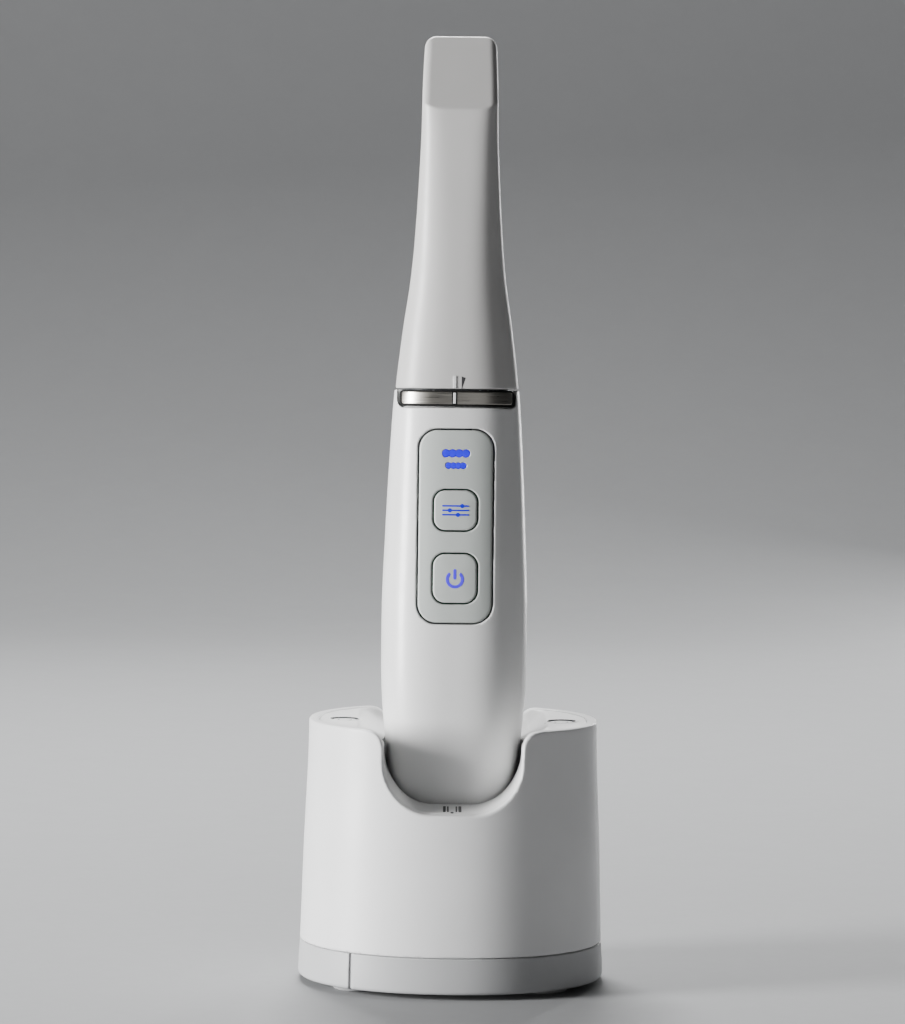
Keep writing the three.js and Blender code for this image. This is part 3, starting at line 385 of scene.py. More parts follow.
def shell(name, field, low, high, step, matrix, material, body, nodes, slot):
    """A piece made from a field, riding on a body and standing for CAD nodes."""
    points, quads, normals = surface_net(field, low, high, step)
    piece = new_object(name, points, quads, matrix, material, normals)
    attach(piece, body)
    if nodes:
        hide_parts(*nodes)
    return piece


def refinish(piece, material, chosen):
    """Gives the faces whose centres (in millimetres) are chosen a second material."""
    mesh = piece.data
    mesh.materials.append(material)
    centres = np.zeros(len(mesh.polygons) * 3)
    mesh.polygons.foreach_get("center", centres)
    picked = chosen(*(centres.reshape(-1, 3) / MM).T)
    mesh.polygons.foreach_set("material_index", picked.astype(np.int32))


# ------------------------------------------------------------------------------------------------
# Materials
# ------------------------------------------------------------------------------------------------

def principled(name, colour, roughness, metallic=0.0):
    """A material with a Principled shader, and its node tree for adding detail."""
    material = bpy.data.materials.new(name)
    material.use_nodes = True
    tree = material.node_tree
    shader = tree.nodes["Principled BSDF"]
    shader.inputs["Base Color"].default_value = (*colour, 1)
    shader.inputs["Roughness"].default_value = roughness
    shader.inputs["Metallic"].default_value = metallic
    return material, tree, shader


def noise(tree, scale, detail=2.0, stretch=(1, 1, 1)):
    """A noise value over the object, its scale in features per metre."""
    place = tree.nodes.new("ShaderNodeTexCoord")
    mapping = tree.nodes.new("ShaderNodeMapping")
    mapping.inputs["Scale"].default_value = stretch
    texture = tree.nodes.new("ShaderNodeTexNoise")
    texture.inputs["Scale"].default_value = scale
    texture.inputs["Detail"].default_value = detail
    tree.links.new(place.outputs["Object"], mapping.inputs["Vector"])
    tree.links.new(mapping.outputs["Vector"], texture.inputs["Vector"])
    return texture.outputs["Fac"]


def spread(tree, value, low, high):
    """Maps a noise value, which stays near the middle, onto a range."""
    ranger = tree.nodes.new("ShaderNodeMapRange")
    ranger.inputs["From Min"].default_value = 0.3
    ranger.inputs["From Max"].default_value = 0.7
    ranger.inputs["To Min"].default_value = low
    ranger.inputs["To Max"].default_value = high
    tree.links.new(value, ranger.inputs["Value"])
    return ranger.outputs["Result"]


def vary_colour(tree, shader, value, dark, light):
    mix = tree.nodes.new("ShaderNodeMix")
    mix.data_type = "RGBA"
    mix.inputs["A"].default_value = (*dark, 1)
    mix.inputs["B"].default_value = (*light, 1)
    tree.links.new(spread(tree, value, 0, 1), mix.inputs["Factor"])
    tree.links.new(mix.outputs["Result"], shader.inputs["Base Color"])


def add_bump(tree, shader, value, strength, distance):
    bump = tree.nodes.new("ShaderNodeBump")
    bump.inputs["Strength"].default_value = strength
    bump.inputs["Distance"].default_value = distance
    tree.links.new(value, bump.inputs["Height"])
    tree.links.new(bump.outputs["Normal"], shader.inputs["Normal"])


def shade(colour, factor):
    return tuple(min(channel * factor, 1.0) for channel in colour)


def moulded(name, colour, roughness, grain=0.12, grain_scale=2600, uneven=0.02, coat=0.0):
    """Injection-moulded plastic: fine spark-eroded grain, a faint clouding and uneven gloss."""
    material, tree, shader = principled(name, colour, roughness)
    cloud = noise(tree, 55, 3)
    vary_colour(tree, shader, cloud, shade(colour, 1 - uneven), shade(colour, 1 + uneven))
    gloss = noise(tree, 240, 4)
    rough = spread(tree, gloss, roughness - 0.04, roughness + 0.05)
    tree.links.new(rough, shader.inputs["Roughness"])
    add_bump(tree, shader, noise(tree, grain_scale, 2), grain, 0.00006)
    shader.inputs["Coat Weight"].default_value = coat
    shader.inputs["Coat Roughness"].default_value = 0.12
    return material


def brushed(name, colour, roughness, stretch, scale=900, strength=0.25):
    """Metal with fine brush lines along the axis that the stretch leaves long."""
    material, tree, shader = principled(name, colour, roughness, 1.0)
    lines = noise(tree, scale, 4, stretch)
    vary_colour(tree, shader, lines, shade(colour, 0.86), shade(colour, 1.1))
    tree.links.new(spread(tree, lines, roughness - 0.06, roughness + 0.1), shader.inputs["Roughness"])
    add_bump(tree, shader, lines, strength, 0.00003)
    return material


def rubber(name, colour, dust=1.9):
    """Matte rubber with a pebbled skin and a little dust in its hollows."""
    material, tree, shader = principled(name, colour, 0.78)
    pebble = noise(tree, 1500, 4)
    vary_colour(tree, shader, pebble, colour, shade(colour, dust))
    tree.links.new(spread(tree, pebble, 0.7, 0.9), shader.inputs["Roughness"])
    add_bump(tree, shader, pebble, 0.35, 0.0001)
    shader.inputs["Specular IOR Level"].default_value = 0.25
    return material


def glowing(name, colour, strength):
    """A lit diffusing light guide, a little brighter in patches."""
    material, tree, shader = principled(name, colour, 0.35)
    glow = noise(tree, 700, 2)
    vary_colour(tree, shader, glow, shade(colour, 0.9), shade(colour, 1.15))
    shader.inputs["Emission Color"].default_value = (*colour, 1)
    shader.inputs["Emission Strength"].default_value = strength
    shader.inputs["Specular IOR Level"].default_value = 0.15
    add_bump(tree, shader, glow, 0.05, 0.00005)
    return material


def circuit(name, colour):
    """Solder mask over copper: a lighter trace pattern and tin pads."""
    material, tree, shader = principled(name, colour, 0.35)
    cells = tree.nodes.new("ShaderNodeTexVoronoi")
    cells.feature = "DISTANCE_TO_EDGE"
    cells.inputs["Scale"].default_value = 420
    place = tree.nodes.new("ShaderNodeTexCoord")
    tree.links.new(place.outputs["Object"], cells.inputs["Vector"])
    edge = tree.nodes.new("ShaderNodeMapRange")
    edge.inputs["From Max"].default_value = 0.12
    tree.links.new(cells.outputs["Distance"], edge.inputs["Value"])
    mix = tree.nodes.new("ShaderNodeMix")
    mix.data_type = "RGBA"
    mix.inputs["A"].default_value = (*shade(colour, 1.9), 1)
    mix.inputs["B"].default_value = (*colour, 1)
    tree.links.new(edge.outputs["Result"], mix.inputs["Factor"])
    tree.links.new(mix.outputs["Result"], shader.inputs["Base Color"])
    add_bump(tree, shader, edge.outputs["Result"], 0.3, 0.00004)
    return material


def clear_glass(name):
    material, tree, shader = principled(name, (0.9, 0.94, 0.95), 0.03)
    shader.inputs["Transmission Weight"].default_value = 1.0
    shader.inputs["IOR"].default_value = 1.5
    smudge = noise(tree, 300, 3)
    tree.links.new(spread(tree, smudge, 0.02, 0.06), shader.inputs["Roughness"])
    return material


def mirror_glass(name):
    material, tree, shader = principled(name, (0.93, 0.94, 0.95), 0.03, 1.0)
    smudge = noise(tree, 260, 3)
    tree.links.new(spread(tree, smudge, 0.015, 0.05), shader.inputs["Roughness"])
    return material


WAND_WHITE = moulded("wand_white_plastic", (0.80, 0.80, 0.795), 0.33, grain=0.05, coat=0.12)
CRADLE_WHITE = moulded("cradle_white_plastic", (0.82, 0.82, 0.82), 0.36, grain=0.06, coat=0.08)
INSERT_WHITE = moulded("insert_white_plastic", (0.78, 0.78, 0.775), 0.42, grain=0.1)
TIP_WHITE = moulded("tip_white_plastic", (0.57, 0.562, 0.552), 0.4, grain=0.08, uneven=0.015)
SKIRT_GREY = moulded("skirt_grey_plastic", (0.47, 0.475, 0.48), 0.45, grain=0.15, grain_scale=1900)
PANEL_GREY = moulded("panel_grey_film", (0.50, 0.53, 0.51), 0.5, grain=0.12, grain_scale=3600, uneven=0.012)
BLACK_RUBBER = rubber("black_rubber", (0.006, 0.006, 0.006), 1.5)
FEET_RUBBER = rubber("feet_grey_rubber", (0.36, 0.36, 0.365), 1.15)
COLLAR_STEEL = brushed("collar_brushed_steel", (0.50, 0.48, 0.44), 0.32, (0.15, 0.15, 6))
SCREW_STEEL = brushed("screw_steel", (0.6, 0.6, 0.6), 0.3, (1, 1, 3), strength=0.1)
CAST_IRON = brushed("cast_ballast", (0.28, 0.28, 0.29), 0.6, (1, 1, 1), scale=700, strength=0.5)
ALUMINIUM = brushed("blasted_aluminium", (0.62, 0.63, 0.65), 0.42, (1, 1, 1), scale=2200, strength=0.2)
BRASS = brushed("gold_flashed_brass", (0.75, 0.57, 0.25), 0.28, (1, 1, 2), strength=0.1)
WINDOW_GLASS = clear_glass("nose_window_glass")
MIRROR = mirror_glass("front_surface_mirror")
STATUS_BLUE = glowing("status_blue_light", (0.02, 0.0, 0.80), 0.4)
ICON_BLUE = glowing("icon_blue_light", (0.01, 0.01, 0.55), 0.3)
ICON_VIOLET = glowing("icon_violet_light", (0.07, 0.03, 0.72), 0.45)
BOARD_GREEN = circuit("circuit_board", (0.02, 0.13, 0.06))
CHIP_BLACK = moulded("chip_package", (0.03, 0.03, 0.033), 0.5, grain=0.3)
INNER_PLASTIC = moulded("inner_dark_plastic", (0.10, 0.105, 0.11), 0.5, grain=0.3, grain_scale=1500)
CELL_WRAP = moulded("cell_wrap", (0.05, 0.14, 0.38), 0.3, grain=0.05)
# painted shade: near-black on the socket's lining and on the walls of the plug holes and dimples, where shade
# falls
PAINTED_SHADE_BLACK = moulded("painted_shade_lining", (0.03, 0.03, 0.031), 0.6, grain=0.2)
# dark grey: the printed lip marks, and painted shadow as the tip's wedge
PRINT_AND_SHADOW_GREY = moulded("dark_grey_print_and_painted_shadow", (0.04, 0.04, 0.043), 0.5)
# light white: the printed tick on the collar, and painted highlight as the tip's tick
PRINT_AND_HIGHLIGHT_WHITE = moulded("white_print_and_painted_highlight", (0.85, 0.85, 0.85), 0.35)

SLOT_FINISH = {
    "shell_white": CRADLE_WHITE,
    "insert_white": INSERT_WHITE,
    "tip_white": TIP_WHITE,
    "skirt_grey": SKIRT_GREY,
    "panel_grey": PANEL_GREY,
    "rubber_black": BLACK_RUBBER,
    "rubber_grey": FEET_RUBBER,
    "collar_steel": COLLAR_STEEL,
    "screw_steel": SCREW_STEEL,
    "ballast_iron": CAST_IRON,
    "frame_aluminium": ALUMINIUM,
    "window_glass": WINDOW_GLASS,
    "mirror": MIRROR,
    "status_blue": STATUS_BLUE,
    "board_green": BOARD_GREEN,
    "chip_black": CHIP_BLACK,
    "inner_plastic": INNER_PLASTIC,
    "cell_wrap": CELL_WRAP,
    "contact_brass": BRASS,
}

# every CAD node gets its slot's finish, so that each one kept in view is finished too
for part in frame["record"]["subparts"]:
    node = frame["nodes"][part["node"]]
    for material_slot in node.material_slots:
        material_slot.material = SLOT_FINISH[part["material_slot"]]


# ------------------------------------------------------------------------------------------------
# Desk cradle
# ------------------------------------------------------------------------------------------------

SHELL_STEP = (0.58, 0.58, 0.58)
SEAM_OPENING = 0.08  # what shows of the seams between the cradle's pieces
PAINTED_SHADE_REACH = 0.4  # how far the painted shade shows past the socket's wall


def ring_between(field, low, high, z, low_blend, high_blend):
    return smooth_max(smooth_max(field, low - z, low_blend), z - high, high_blend)


def cradle_shell_field(x, y, z):
    skin = cradle_field(x, y, z)
    body = ring_between(skin, SEAM_Z + SEAM_OPENING, RIM_Z, z, 0.35, 0.55)
    body = carve(body, skin + CRADLE_WALL + GAP - SEAM_OPENING, 0.3)
    body = carve(body, cut_field(x, y, z, FRONT_CUT, -1), 0.8)
    return carve(body, cut_field(x, y, z, REAR_CUT, 1), 0.8)


def dish_field(x, y, z, drop=0.0):
    """Negative above the dished top, which is deepest round the socket and shallow at the tips."""
    half_width = cradle_half_width(RIM_Z) - CRADLE_WALL - GAP
    half_depth = cradle_half_width(RIM_Z) * CRADLE_DEPTH_RATIO - CRADLE_WALL - GAP
    share = np.hypot(x / half_width, y / half_depth)
    fall = DISH_SLOPE * (DISH_END_X - np.abs(x))
    depth = smooth_min(smooth_max(fall, DISH_END_DEPTH, 0.5), DISH_DEPTH, 1)
    surface = RIM_Z - GAP - drop - depth * (1 - np.clip(share, 0, 1) ** DISH_POWER)
    return (surface - z) * 0.7


def socket_frame(x, y, z):
    """Cradle coordinates as seen in the leaning wand's frame."""
    up = z - BUTT_Z
    back = y - BUTT_Y
    return x, back * math.cos(LEAN) - up * math.sin(LEAN), back * math.sin(LEAN) + up * math.cos(LEAN)


def plug_hole(x, y, radius):
    return np.minimum(np.hypot(x - PLUG_X, y), np.hypot(x + PLUG_X, y)) - radius


def insert_field(x, y, z):
    inside = cradle_field(x, y, z) + CRADLE_WALL + GAP
    wx, wy, wz = socket_frame(x, y, z)
    socket = np.maximum(wand_field(wx, wy, np.clip(wz, 0, None)) - SOCKET_CLEARANCE, -SOCKET_CLEARANCE - wz)
    cup = smooth_max(socket - SOCKET_WALL, z - CUP_TOP_Z, 0.6)
    cap = smooth_max(INSERT_CAP_Z - z, -dish_field(x, y, z), 0.5)
    hollow = smooth_max(dish_field(x, y, z, 2.6) * -1, inside + 2.2, 0.5)
    cap = carve(cap, hollow, 0.5)
    front = smooth_max(cut_field(x, y, z, FRONT_CUT, -1, CUT_WALL, 0), z - RIM_Z + 3, 0.5)
    rear = smooth_max(cut_field(x, y, z, REAR_CUT, 1, CUT_WALL, 0), z - RIM_Z + 3, 0.5)
    bosses = np.maximum(plug_hole(x, y, 5), np.maximum(RIM_Z - 14 - z, z - RIM_Z + 4))
    body = smooth_min(smooth_min(cap, cup, 1), np.minimum(np.minimum(front, rear), bosses), 0.6)
    body = smooth_max(body, inside, 0.25)
    body = carve(body, dish_field(x, y, z), 0.3)
    body = carve(body, cut_field(x, y, z, FRONT_CUT, -1), 0.5)
    body = carve(body, cut_field(x, y, z, REAR_CUT, 1), 0.5)
    hole = plug_hole(x, y, PLUG_RADIUS + PLUG_GAP + HOLE_MARGIN)
    body = carve(body, np.maximum(hole, PLUG_HOLE_Z - z), 0.3)
    body = carve(body, plug_hole(x, y, 1.6), 0.1)
    return carve(body, socket, 0.6)


def painted_shade_mask(x, y, z):
    """True where painted shade goes: on the lining of the socket below its mouth, and on the walls of the
    plug holes.
    """
    wx, wy, wz = socket_frame(x, y, z)
    socket = (wand_field(wx, wy, np.clip(wz, 0, None)) < SOCKET_CLEARANCE + PAINTED_SHADE_REACH) & (z < RIM_Z - 6)
    return socket | (plug_hole(x, y, PLUG_RADIUS + PLUG_GAP + HOLE_MARGIN) < 0.12)


def plug_seat_field(x, y, z):
    """A thin ring on the dish round each plug, with a sharp-edged hole."""
    ring = np.maximum(plug_hole(x, y, SEAT_RADIUS), -dish_field(x, y, z, -SEAT_PROUD))
    ring = np.maximum(ring, dish_field(x, y, z, SEAT_DEPTH))
    return carve(ring, plug_hole(x, y, PLUG_RADIUS + PLUG_GAP), 0.12)


def in_plug_hole(x, y, z):
    """True on the wall of a plug's hole, which is painted dark as shade."""
    return np.abs(plug_hole(x, y, PLUG_RADIUS + PLUG_GAP)) < 0.06


def in_dimple(x, y, z):
    """True on the wall of a plug's dimple, which is painted dark as shade."""
    return np.abs(np.hypot(np.abs(x) - PLUG_X, y) - DIMPLE_RADIUS) < 0.12


def skirt_field(x, y, z):
    skin = cradle_field(x, y, z)
    body = ring_between(skin, SKIRT_BOTTOM_Z, SEAM_Z, z, 1.0, 0.3)
    rib = ring_between(skin + CRADLE_WALL + GAP, SEAM_Z - 3, SEAM_Z + 3, z, 0.4, 0.4)
    body = smooth_min(body, rib, 0.3)
    wall = CRADLE_WALL + np.clip((z - SEAM_Z + 3) / 1.5, 0, 1) * 1.7
    body = carve(body, skin + wall, 0.5)
    away = np.hypot(np.abs(x) - BASE_SCREW_X, np.abs(y) - BASE_SCREW_Y)
    bosses = away - BASE_BOSS_RADIUS
    bosses = smooth_max(bosses, ring_between(skin + 1, 4.7, SEAM_Z - 0.5, z, 0.4, 0.4), 0.4)
    bosses = carve(bosses, away - BASE_SCREW_HOLE, 0.2)
    body = smooth_min(body, bosses, 0.3)
    groove = np.maximum(np.abs(x - SKIRT_GROOVE_X) - 0.25, np.maximum(-skin - 0.4, y))
    return carve(body, groove, 0.3)


def plug_field(x, y, z):
    away = np.hypot(np.abs(x) - PLUG_X, y)
    body = smooth_max(away - PLUG_RADIUS, -dish_field(x, y, z, PLUG_SINK), 0.4)
    body = carve(body, np.maximum(away - DIMPLE_RADIUS, -dish_field(x, y, z, PLUG_SINK + DIMPLE_DEPTH)), 0.1)
    return smooth_max(body, PLUG_SEAT_Z - z, 0.3)


def foot_field(x, y, z):
    side = np.hypot(x, y) - FOOT_RADIUS
    dimple = np.hypot(np.hypot(x, y), (z + 3) * 1.0) - 3.4
    body = smooth_max(smooth_max(side, -z, 0.9), z - FOOT_HEIGHT, 0.5)
    return carve(body, dimple, 0.3)


def cradle_box(low_z, high_z, margin=1.2):
    half_width = cradle_half_width(3) + margin
    return (-half_width, -half_width * CRADLE_DEPTH_RATIO - 1, low_z - margin), \
        (half_width, half_width * CRADLE_DEPTH_RATIO + 1, high_z + margin)


shell("cradle_shell_skin", cradle_shell_field, *cradle_box(SEAM_Z, RIM_Z), SHELL_STEP,
      CRADLE_TO_WORLD, CRADLE_WHITE, "cradle", ["cradle_shell"], "shell_white")
insert = shell("cradle_insert_skin", insert_field, *cradle_box(14, RIM_Z), SHELL_STEP,
               CRADLE_TO_WORLD, INSERT_WHITE, "cradle", ["cradle_insert"], "insert_white")
# painted shade on the socket's lining and on the plug holes' walls
refinish(insert, PAINTED_SHADE_BLACK, painted_shade_mask)
shell("base_skirt_skin", skirt_field, *cradle_box(0, SEAM_Z + 3), (0.6, 0.6, 0.5),
      CRADLE_TO_WORLD, SKIRT_GREY, "cradle", ["base_skirt"], "skirt_grey")

for word, side in (("left", -1), ("right", 1)):
    reach = PLUG_RADIUS + 0.6
    low = (side * PLUG_X - reach, -reach, PLUG_SEAT_Z - 0.5)
    high = (side * PLUG_X + reach, reach, RIM_Z)
    plug = shell(f"plug_{word}_cap", plug_field, low, high, (0.14, 0.14, 0.12),
                 CRADLE_TO_WORLD, CRADLE_WHITE, "cradle", [f"screw_plug_{word}"], "shell_white")
    # painted shade on the dimple's wall
    refinish(plug, PAINTED_SHADE_BLACK, in_dimple)
    reach = SEAT_RADIUS + 0.5
    seat = shell(f"plug_{word}_seat", plug_seat_field, (side * PLUG_X - reach, -reach, RIM_Z - 4.5),
                 (side * PLUG_X + reach, reach, RIM_Z + 0.3), (0.16, 0.16, 0.12),
                 CRADLE_TO_WORLD, INSERT_WHITE, "cradle", [], "insert_white")
    # painted shade on the wall of the plug's hole
    refinish(seat, PAINTED_SHADE_BLACK, in_plug_hole)

for number in range(1, 5):
    low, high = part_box(f"foot_{number}")
    centre = (low + high) / 2 / MM
    reach = FOOT_RADIUS + 0.6
    placed = CRADLE_TO_WORLD @ Matrix.Translation((centre.x, centre.y, 0))
    shell(f"rubber_foot_{number}", foot_field, (-reach, -reach, -0.6), (reach, reach, FOOT_HEIGHT + 0.6),
          (0.35, 0.35, 0.3), placed, FEET_RUBBER, "cradle", [f"foot_{number}"], "rubber_grey")


# ------------------------------------------------------------------------------------------------
# Wand body, in the wand's own frame
# ------------------------------------------------------------------------------------------------

def wand_box(along_low, along_high, margin=1.0, half_width=None, depth_low=None, depth_high=None):
    """Corners of a box round a stretch of the wand, trimmed in width or depth where given."""
    along = np.linspace(along_low, along_high, 60)
    widest = wand_half_width(along).max() if half_width is None else half_width
    front = (wand_offset(along) - wand_half_depth(along)).min() if depth_low is None else depth_low
    back = (wand_offset(along) + wand_half_depth(along)).max() if depth_high is None else depth_high
    return (-widest - margin, front - margin, along_low - margin), \
        (widest + margin, back + margin, along_high + margin)


def surface_depth(x, along, side):
    power = wand_power(along)
    share = (abs(x) / wand_half_width(along)) ** power
    return wand_offset(along) + side * wand_half_depth(along) * (1 - share) ** (1 / power)


def body_wall(x, y, z, side):
    """The hollow body between its end cap and its top edge, on one side of the parting seam."""
    skin = wand_field(x, y, z)
    body = ring_between(skin, END_CAP_TOP + GAP, BODY_TOP, z, 0.3, 0.3)
    body = carve(body, skin + WAND_WALL, 0.3)
    return smooth_max(body, GAP / 2 - side * y, 0.22)


def front_shell_field(x, y, z):
    body = body_wall(x, y, z, -1)
    body = carve(body, np.maximum(rounded_rectangle(x, z, PANEL, KEYPAD_GROOVE), y), 0.45)
    band_room = dict(COLLAR, half_width=COLLAR["half_width"] + COLLAR_SURROUND + GAP,
                     low=COLLAR["low"] - COLLAR_SURROUND - GAP, high=BODY_TOP + 8,
                     corner=COLLAR["corner"] + COLLAR_SURROUND + GAP)
    recess = np.maximum(rounded_rectangle(x, z, band_room), -1.5 - wand_field(x, y, z))
    return carve(body, np.maximum(recess, y), 0.4)


def rear_shell_field(x, y, z):
    body = body_wall(x, y, z, 1)
    for screw in (UPPER_SCREWS, LOWER_SCREWS):
        seat = surface_depth(screw["x"], screw["along"], 1) - screw["sink"]
        reach = np.hypot(np.abs(x) - screw["x"], z - screw["along"])
        boss = np.maximum(reach - 2.9, np.maximum(GAP / 2 - y, wand_field(x, y, z) + 0.8))
        body = smooth_min(body, boss, 0.3)
        body = carve(body, np.maximum(reach - 2.4, seat - y), 0.35)
        body = carve(body, reach - 1.3, 0.1)
    return body


def end_cap_field(x, y, z):
    skin = wand_field(x, y, z)
    body = ring_between(skin, 0, END_CAP_TOP, z, 0.5, 0.3)
    return carve(body, np.maximum(skin + WAND_WALL, WAND_WALL - z), 0.4)


def collar_band_field(x, y, z):
    skin = wand_field(x, y, z)
    plate = np.maximum(smooth_max(skin + 0.1, rounded_rectangle(x, z, COLLAR), 0.18), -0.6 - skin)
    return np.maximum(plate, y)


def gasket_field(x, y, z):
    skin = wand_field(x, y, z)
    outside = {
        "half_width": COLLAR["half_width"] + COLLAR_SURROUND,
        "low": COLLAR["low"] - COLLAR_SURROUND,
        "high": BODY_TOP - 0.1,
        "corner": COLLAR["corner"] + COLLAR_SURROUND,
    }
    pad = smooth_max(skin + 0.42, rounded_rectangle(x, z, outside), 0.15)
    pad = np.maximum(pad, -1.3 - skin)
    pad = carve(pad, np.maximum(rounded_rectangle(x, z, COLLAR, 0.06), -0.68 - skin), 0.08)
    return np.maximum(pad, y)


def panel_field(x, y, z):
    skin = wand_field(x, y, z)
    body = smooth_max(skin + 0.1, rounded_rectangle(x, z, PANEL), 0.5)
    body = smooth_max(body, -0.1 - PANEL_THICKNESS - skin, 0.2)
    for button in (MODE, POWER):
        body = carve(body, rounded_rectangle(x, z, button, KEYPAD_GROOVE), 0.45)
    return np.maximum(carve(body, light_field(x, z, 0.1), 0.12), y)


def button_field(x, y, z, button):
    """A key: slightly crowned, with a soft edge."""
    skin = wand_field(x, y, z)
    edge = rounded_rectangle(x, z, button)
    dome = 0.12 * np.clip(1 + edge / button["half_width"], 0, 1) ** 2
    body = smooth_max(skin - BUTTON_PROUD + 0.05 + dome, edge, 0.5)
    return np.maximum(smooth_max(body, -BUTTON_THICKNESS - skin, 0.2), y)


def light_post_field(x, y, z):
    skin = wand_field(x, y, z)
    post = np.maximum(smooth_max(light_field(x, z), skin + 0.15, 0.12), y + 11.6)
    plate = np.maximum(np.maximum(np.abs(x) - 4.6, np.abs(z - 116.9) - 3.3), np.abs(y + 12.25) - 0.25)
    return np.minimum(post, plate + LIGHT_PLATE_EASE)


def nose_section(x, y, z, inset):
    """The wand's own section at each height, drawn in by an inset."""
    half_width = wand_half_width(z) - inset
    return rounded_outline(x, y - wand_offset(z), half_width, wand_half_depth(z) - inset, wand_power(z))


def nose_tube_field(x, y, z):
    tube = ring_between(nose_section(x, y, z, NOSE_INSET), NOSE_LOW, NOSE_HIGH, z, 0.3, 0.5)
    bore = np.maximum(nose_section(x, y, z, NOSE_INSET + NOSE_WALL), z - NOSE_HIGH + NOSE_LEDGE - 0.5)
    seat = np.maximum(nose_section(x, y, z, NOSE_INSET + NOSE_WALL / 2), NOSE_HIGH - NOSE_LEDGE - z)
    floor = nose_section(x, y, z, NOSE_INSET + RING_GROOVE["depth"])
    groove = ring_between(-floor, RING_GROOVE["low"], RING_GROOVE["high"], z, 0.1, 0.1)
    return carve(carve(carve(tube, bore, 0.2), seat, 0.2), groove, 0.2)


def seal_ring_field(x, y, z):
    """A round-sectioned ring in the nose's groove."""
    middle = (RING_GROOVE["low"] + RING_GROOVE["high"]) / 2
    radius = (RING_GROOVE["high"] - RING_GROOVE["low"]) / 2 - RING_EASE
    centre = nose_section(x, y, z, NOSE_INSET + RING_GROOVE["depth"] - GAP) - radius
    return np.hypot(centre, z - middle) - radius


shell("nose_tube_skin", nose_tube_field, *wand_box(NOSE_LOW, NOSE_HIGH), (0.5, 0.5, 0.5),
      WAND_TO_WORLD, INNER_PLASTIC, "wand", ["nose_tube"], "inner_plastic")
shell("nose_ring_seal", seal_ring_field, *wand_box(RING_GROOVE["low"], RING_GROOVE["high"], 0.4),
      (0.25, 0.25, 0.2), WAND_TO_WORLD, BLACK_RUBBER, "wand", ["nose_seal_ring"], "rubber_black")
shell("body_front_skin", front_shell_field, *wand_box(END_CAP_TOP, BODY_TOP, depth_high=0), (0.45, 0.45, 0.5),
      WAND_TO_WORLD, WAND_WHITE, "wand", ["body_front_shell"], "shell_white")
shell("body_rear_skin", rear_shell_field, *wand_box(END_CAP_TOP, BODY_TOP, depth_low=0), (0.6, 0.6, 0.7),
      WAND_TO_WORLD, WAND_WHITE, "wand", ["body_rear_shell"], "shell_white")
shell("end_cap_skin", end_cap_field, *wand_box(0, END_CAP_TOP), (0.5, 0.5, 0.4),
      WAND_TO_WORLD, WAND_WHITE, "wand", ["end_cap"], "shell_white")

collar_front = wand_box(129.8, 135.0, 0.4, depth_high=-3)
shell("collar_band_plate", collar_band_field, *collar_front, (0.22, 0.16, 0.16),
      WAND_TO_WORLD, COLLAR_STEEL, "wand", ["collar_band"], "collar_steel")
shell("collar_gasket_seal", gasket_field, *collar_front, (0.24, 0.17, 0.17),
      WAND_TO_WORLD, BLACK_RUBBER, "wand", ["collar_gasket"], "rubber_black")

keypad_box = wand_box(PANEL["low"], PANEL["high"], 0.5, half_width=PANEL["half_width"], depth_high=-14)
shell("keypad_panel_skin", panel_field, *keypad_box, (0.27, 0.2, 0.27),
      WAND_TO_WORLD, PANEL_GREY, "wand", ["keypad_panel"], "panel_grey")
for word, button in (("mode", MODE), ("power", POWER)):
    shell(f"{word}_key", lambda x, y, z, button=button: button_field(x, y, z, button),
          *wand_box(button["low"], button["high"], 0.6, half_width=button["half_width"], depth_high=-14.6),
          (0.16, 0.16, 0.16), WAND_TO_WORLD, PANEL_GREY, f"{word}_key", [f"{word}_button"], "panel_grey")
shell("status_light_posts", light_post_field, (-5.2, -17, 113), (5.2, -11.4, 121), (0.13, 0.16, 0.13),
      WAND_TO_WORLD, STATUS_BLUE, "wand", ["status_light_guide"], "status_blue")


# ------------------------------------------------------------------------------------------------
# Detachable tip
# ------------------------------------------------------------------------------------------------

FACET_FRONT_Y = float(wand_offset(FACET_START) - wand_half_depth(FACET_START))
FACET_BACK_Y = float(wand_offset(WAND_LENGTH) + wand_half_depth(WAND_LENGTH)) - FACET_TOP_EDGE
FACET_SLOPE = math.atan2(FACET_BACK_Y - FACET_FRONT_Y, WAND_LENGTH - FACET_START)


def above_facet(y, z):
    """Signed height above the slanted facet, out of the sleeve."""
    return -(y - FACET_FRONT_Y) * math.cos(FACET_SLOPE) + (z - FACET_START) * math.sin(FACET_SLOPE)


def sleeve_field(x, y, z):
    skin = wand_field(x, y, z)
    facet = above_facet(y, z)
    side = np.abs(x) - wand_half_width(z)
    past_side = side + HEAD_INSET + HEAD_CORNER
    past_top = z - WAND_LENGTH + HEAD_CORNER
    outside = np.hypot(np.maximum(past_side, 0), np.maximum(past_top, 0))
    top = outside + np.minimum(np.maximum(past_side, past_top), 0) - HEAD_CORNER
    body = np.maximum(smooth_max(skin, facet, FACET_EDGE), smooth_max(side, facet, FACET_SIDE))
    body = smooth_max(body, top, 0.5)
    body = smooth_max(body, SLEEVE_START - z, 0.45)
    hollow = smooth_max(skin + SLEEVE_WALL, facet + FACET_WALL, 0.8)
    hollow = smooth_max(hollow, z - WAND_LENGTH + SLEEVE_TOP_WALL, 0.8)
    body = carve(body, hollow, 0.35)
    return carve(body, np.maximum(rounded_rectangle(x, z, WINDOW), 2 - y), 0.8)


shell("tip_sleeve_skin", sleeve_field, *wand_box(SLEEVE_START, WAND_LENGTH), (0.45, 0.45, 0.5),
      WAND_TO_WORLD, TIP_WHITE, "tip", ["tip_sleeve"], "tip_white")


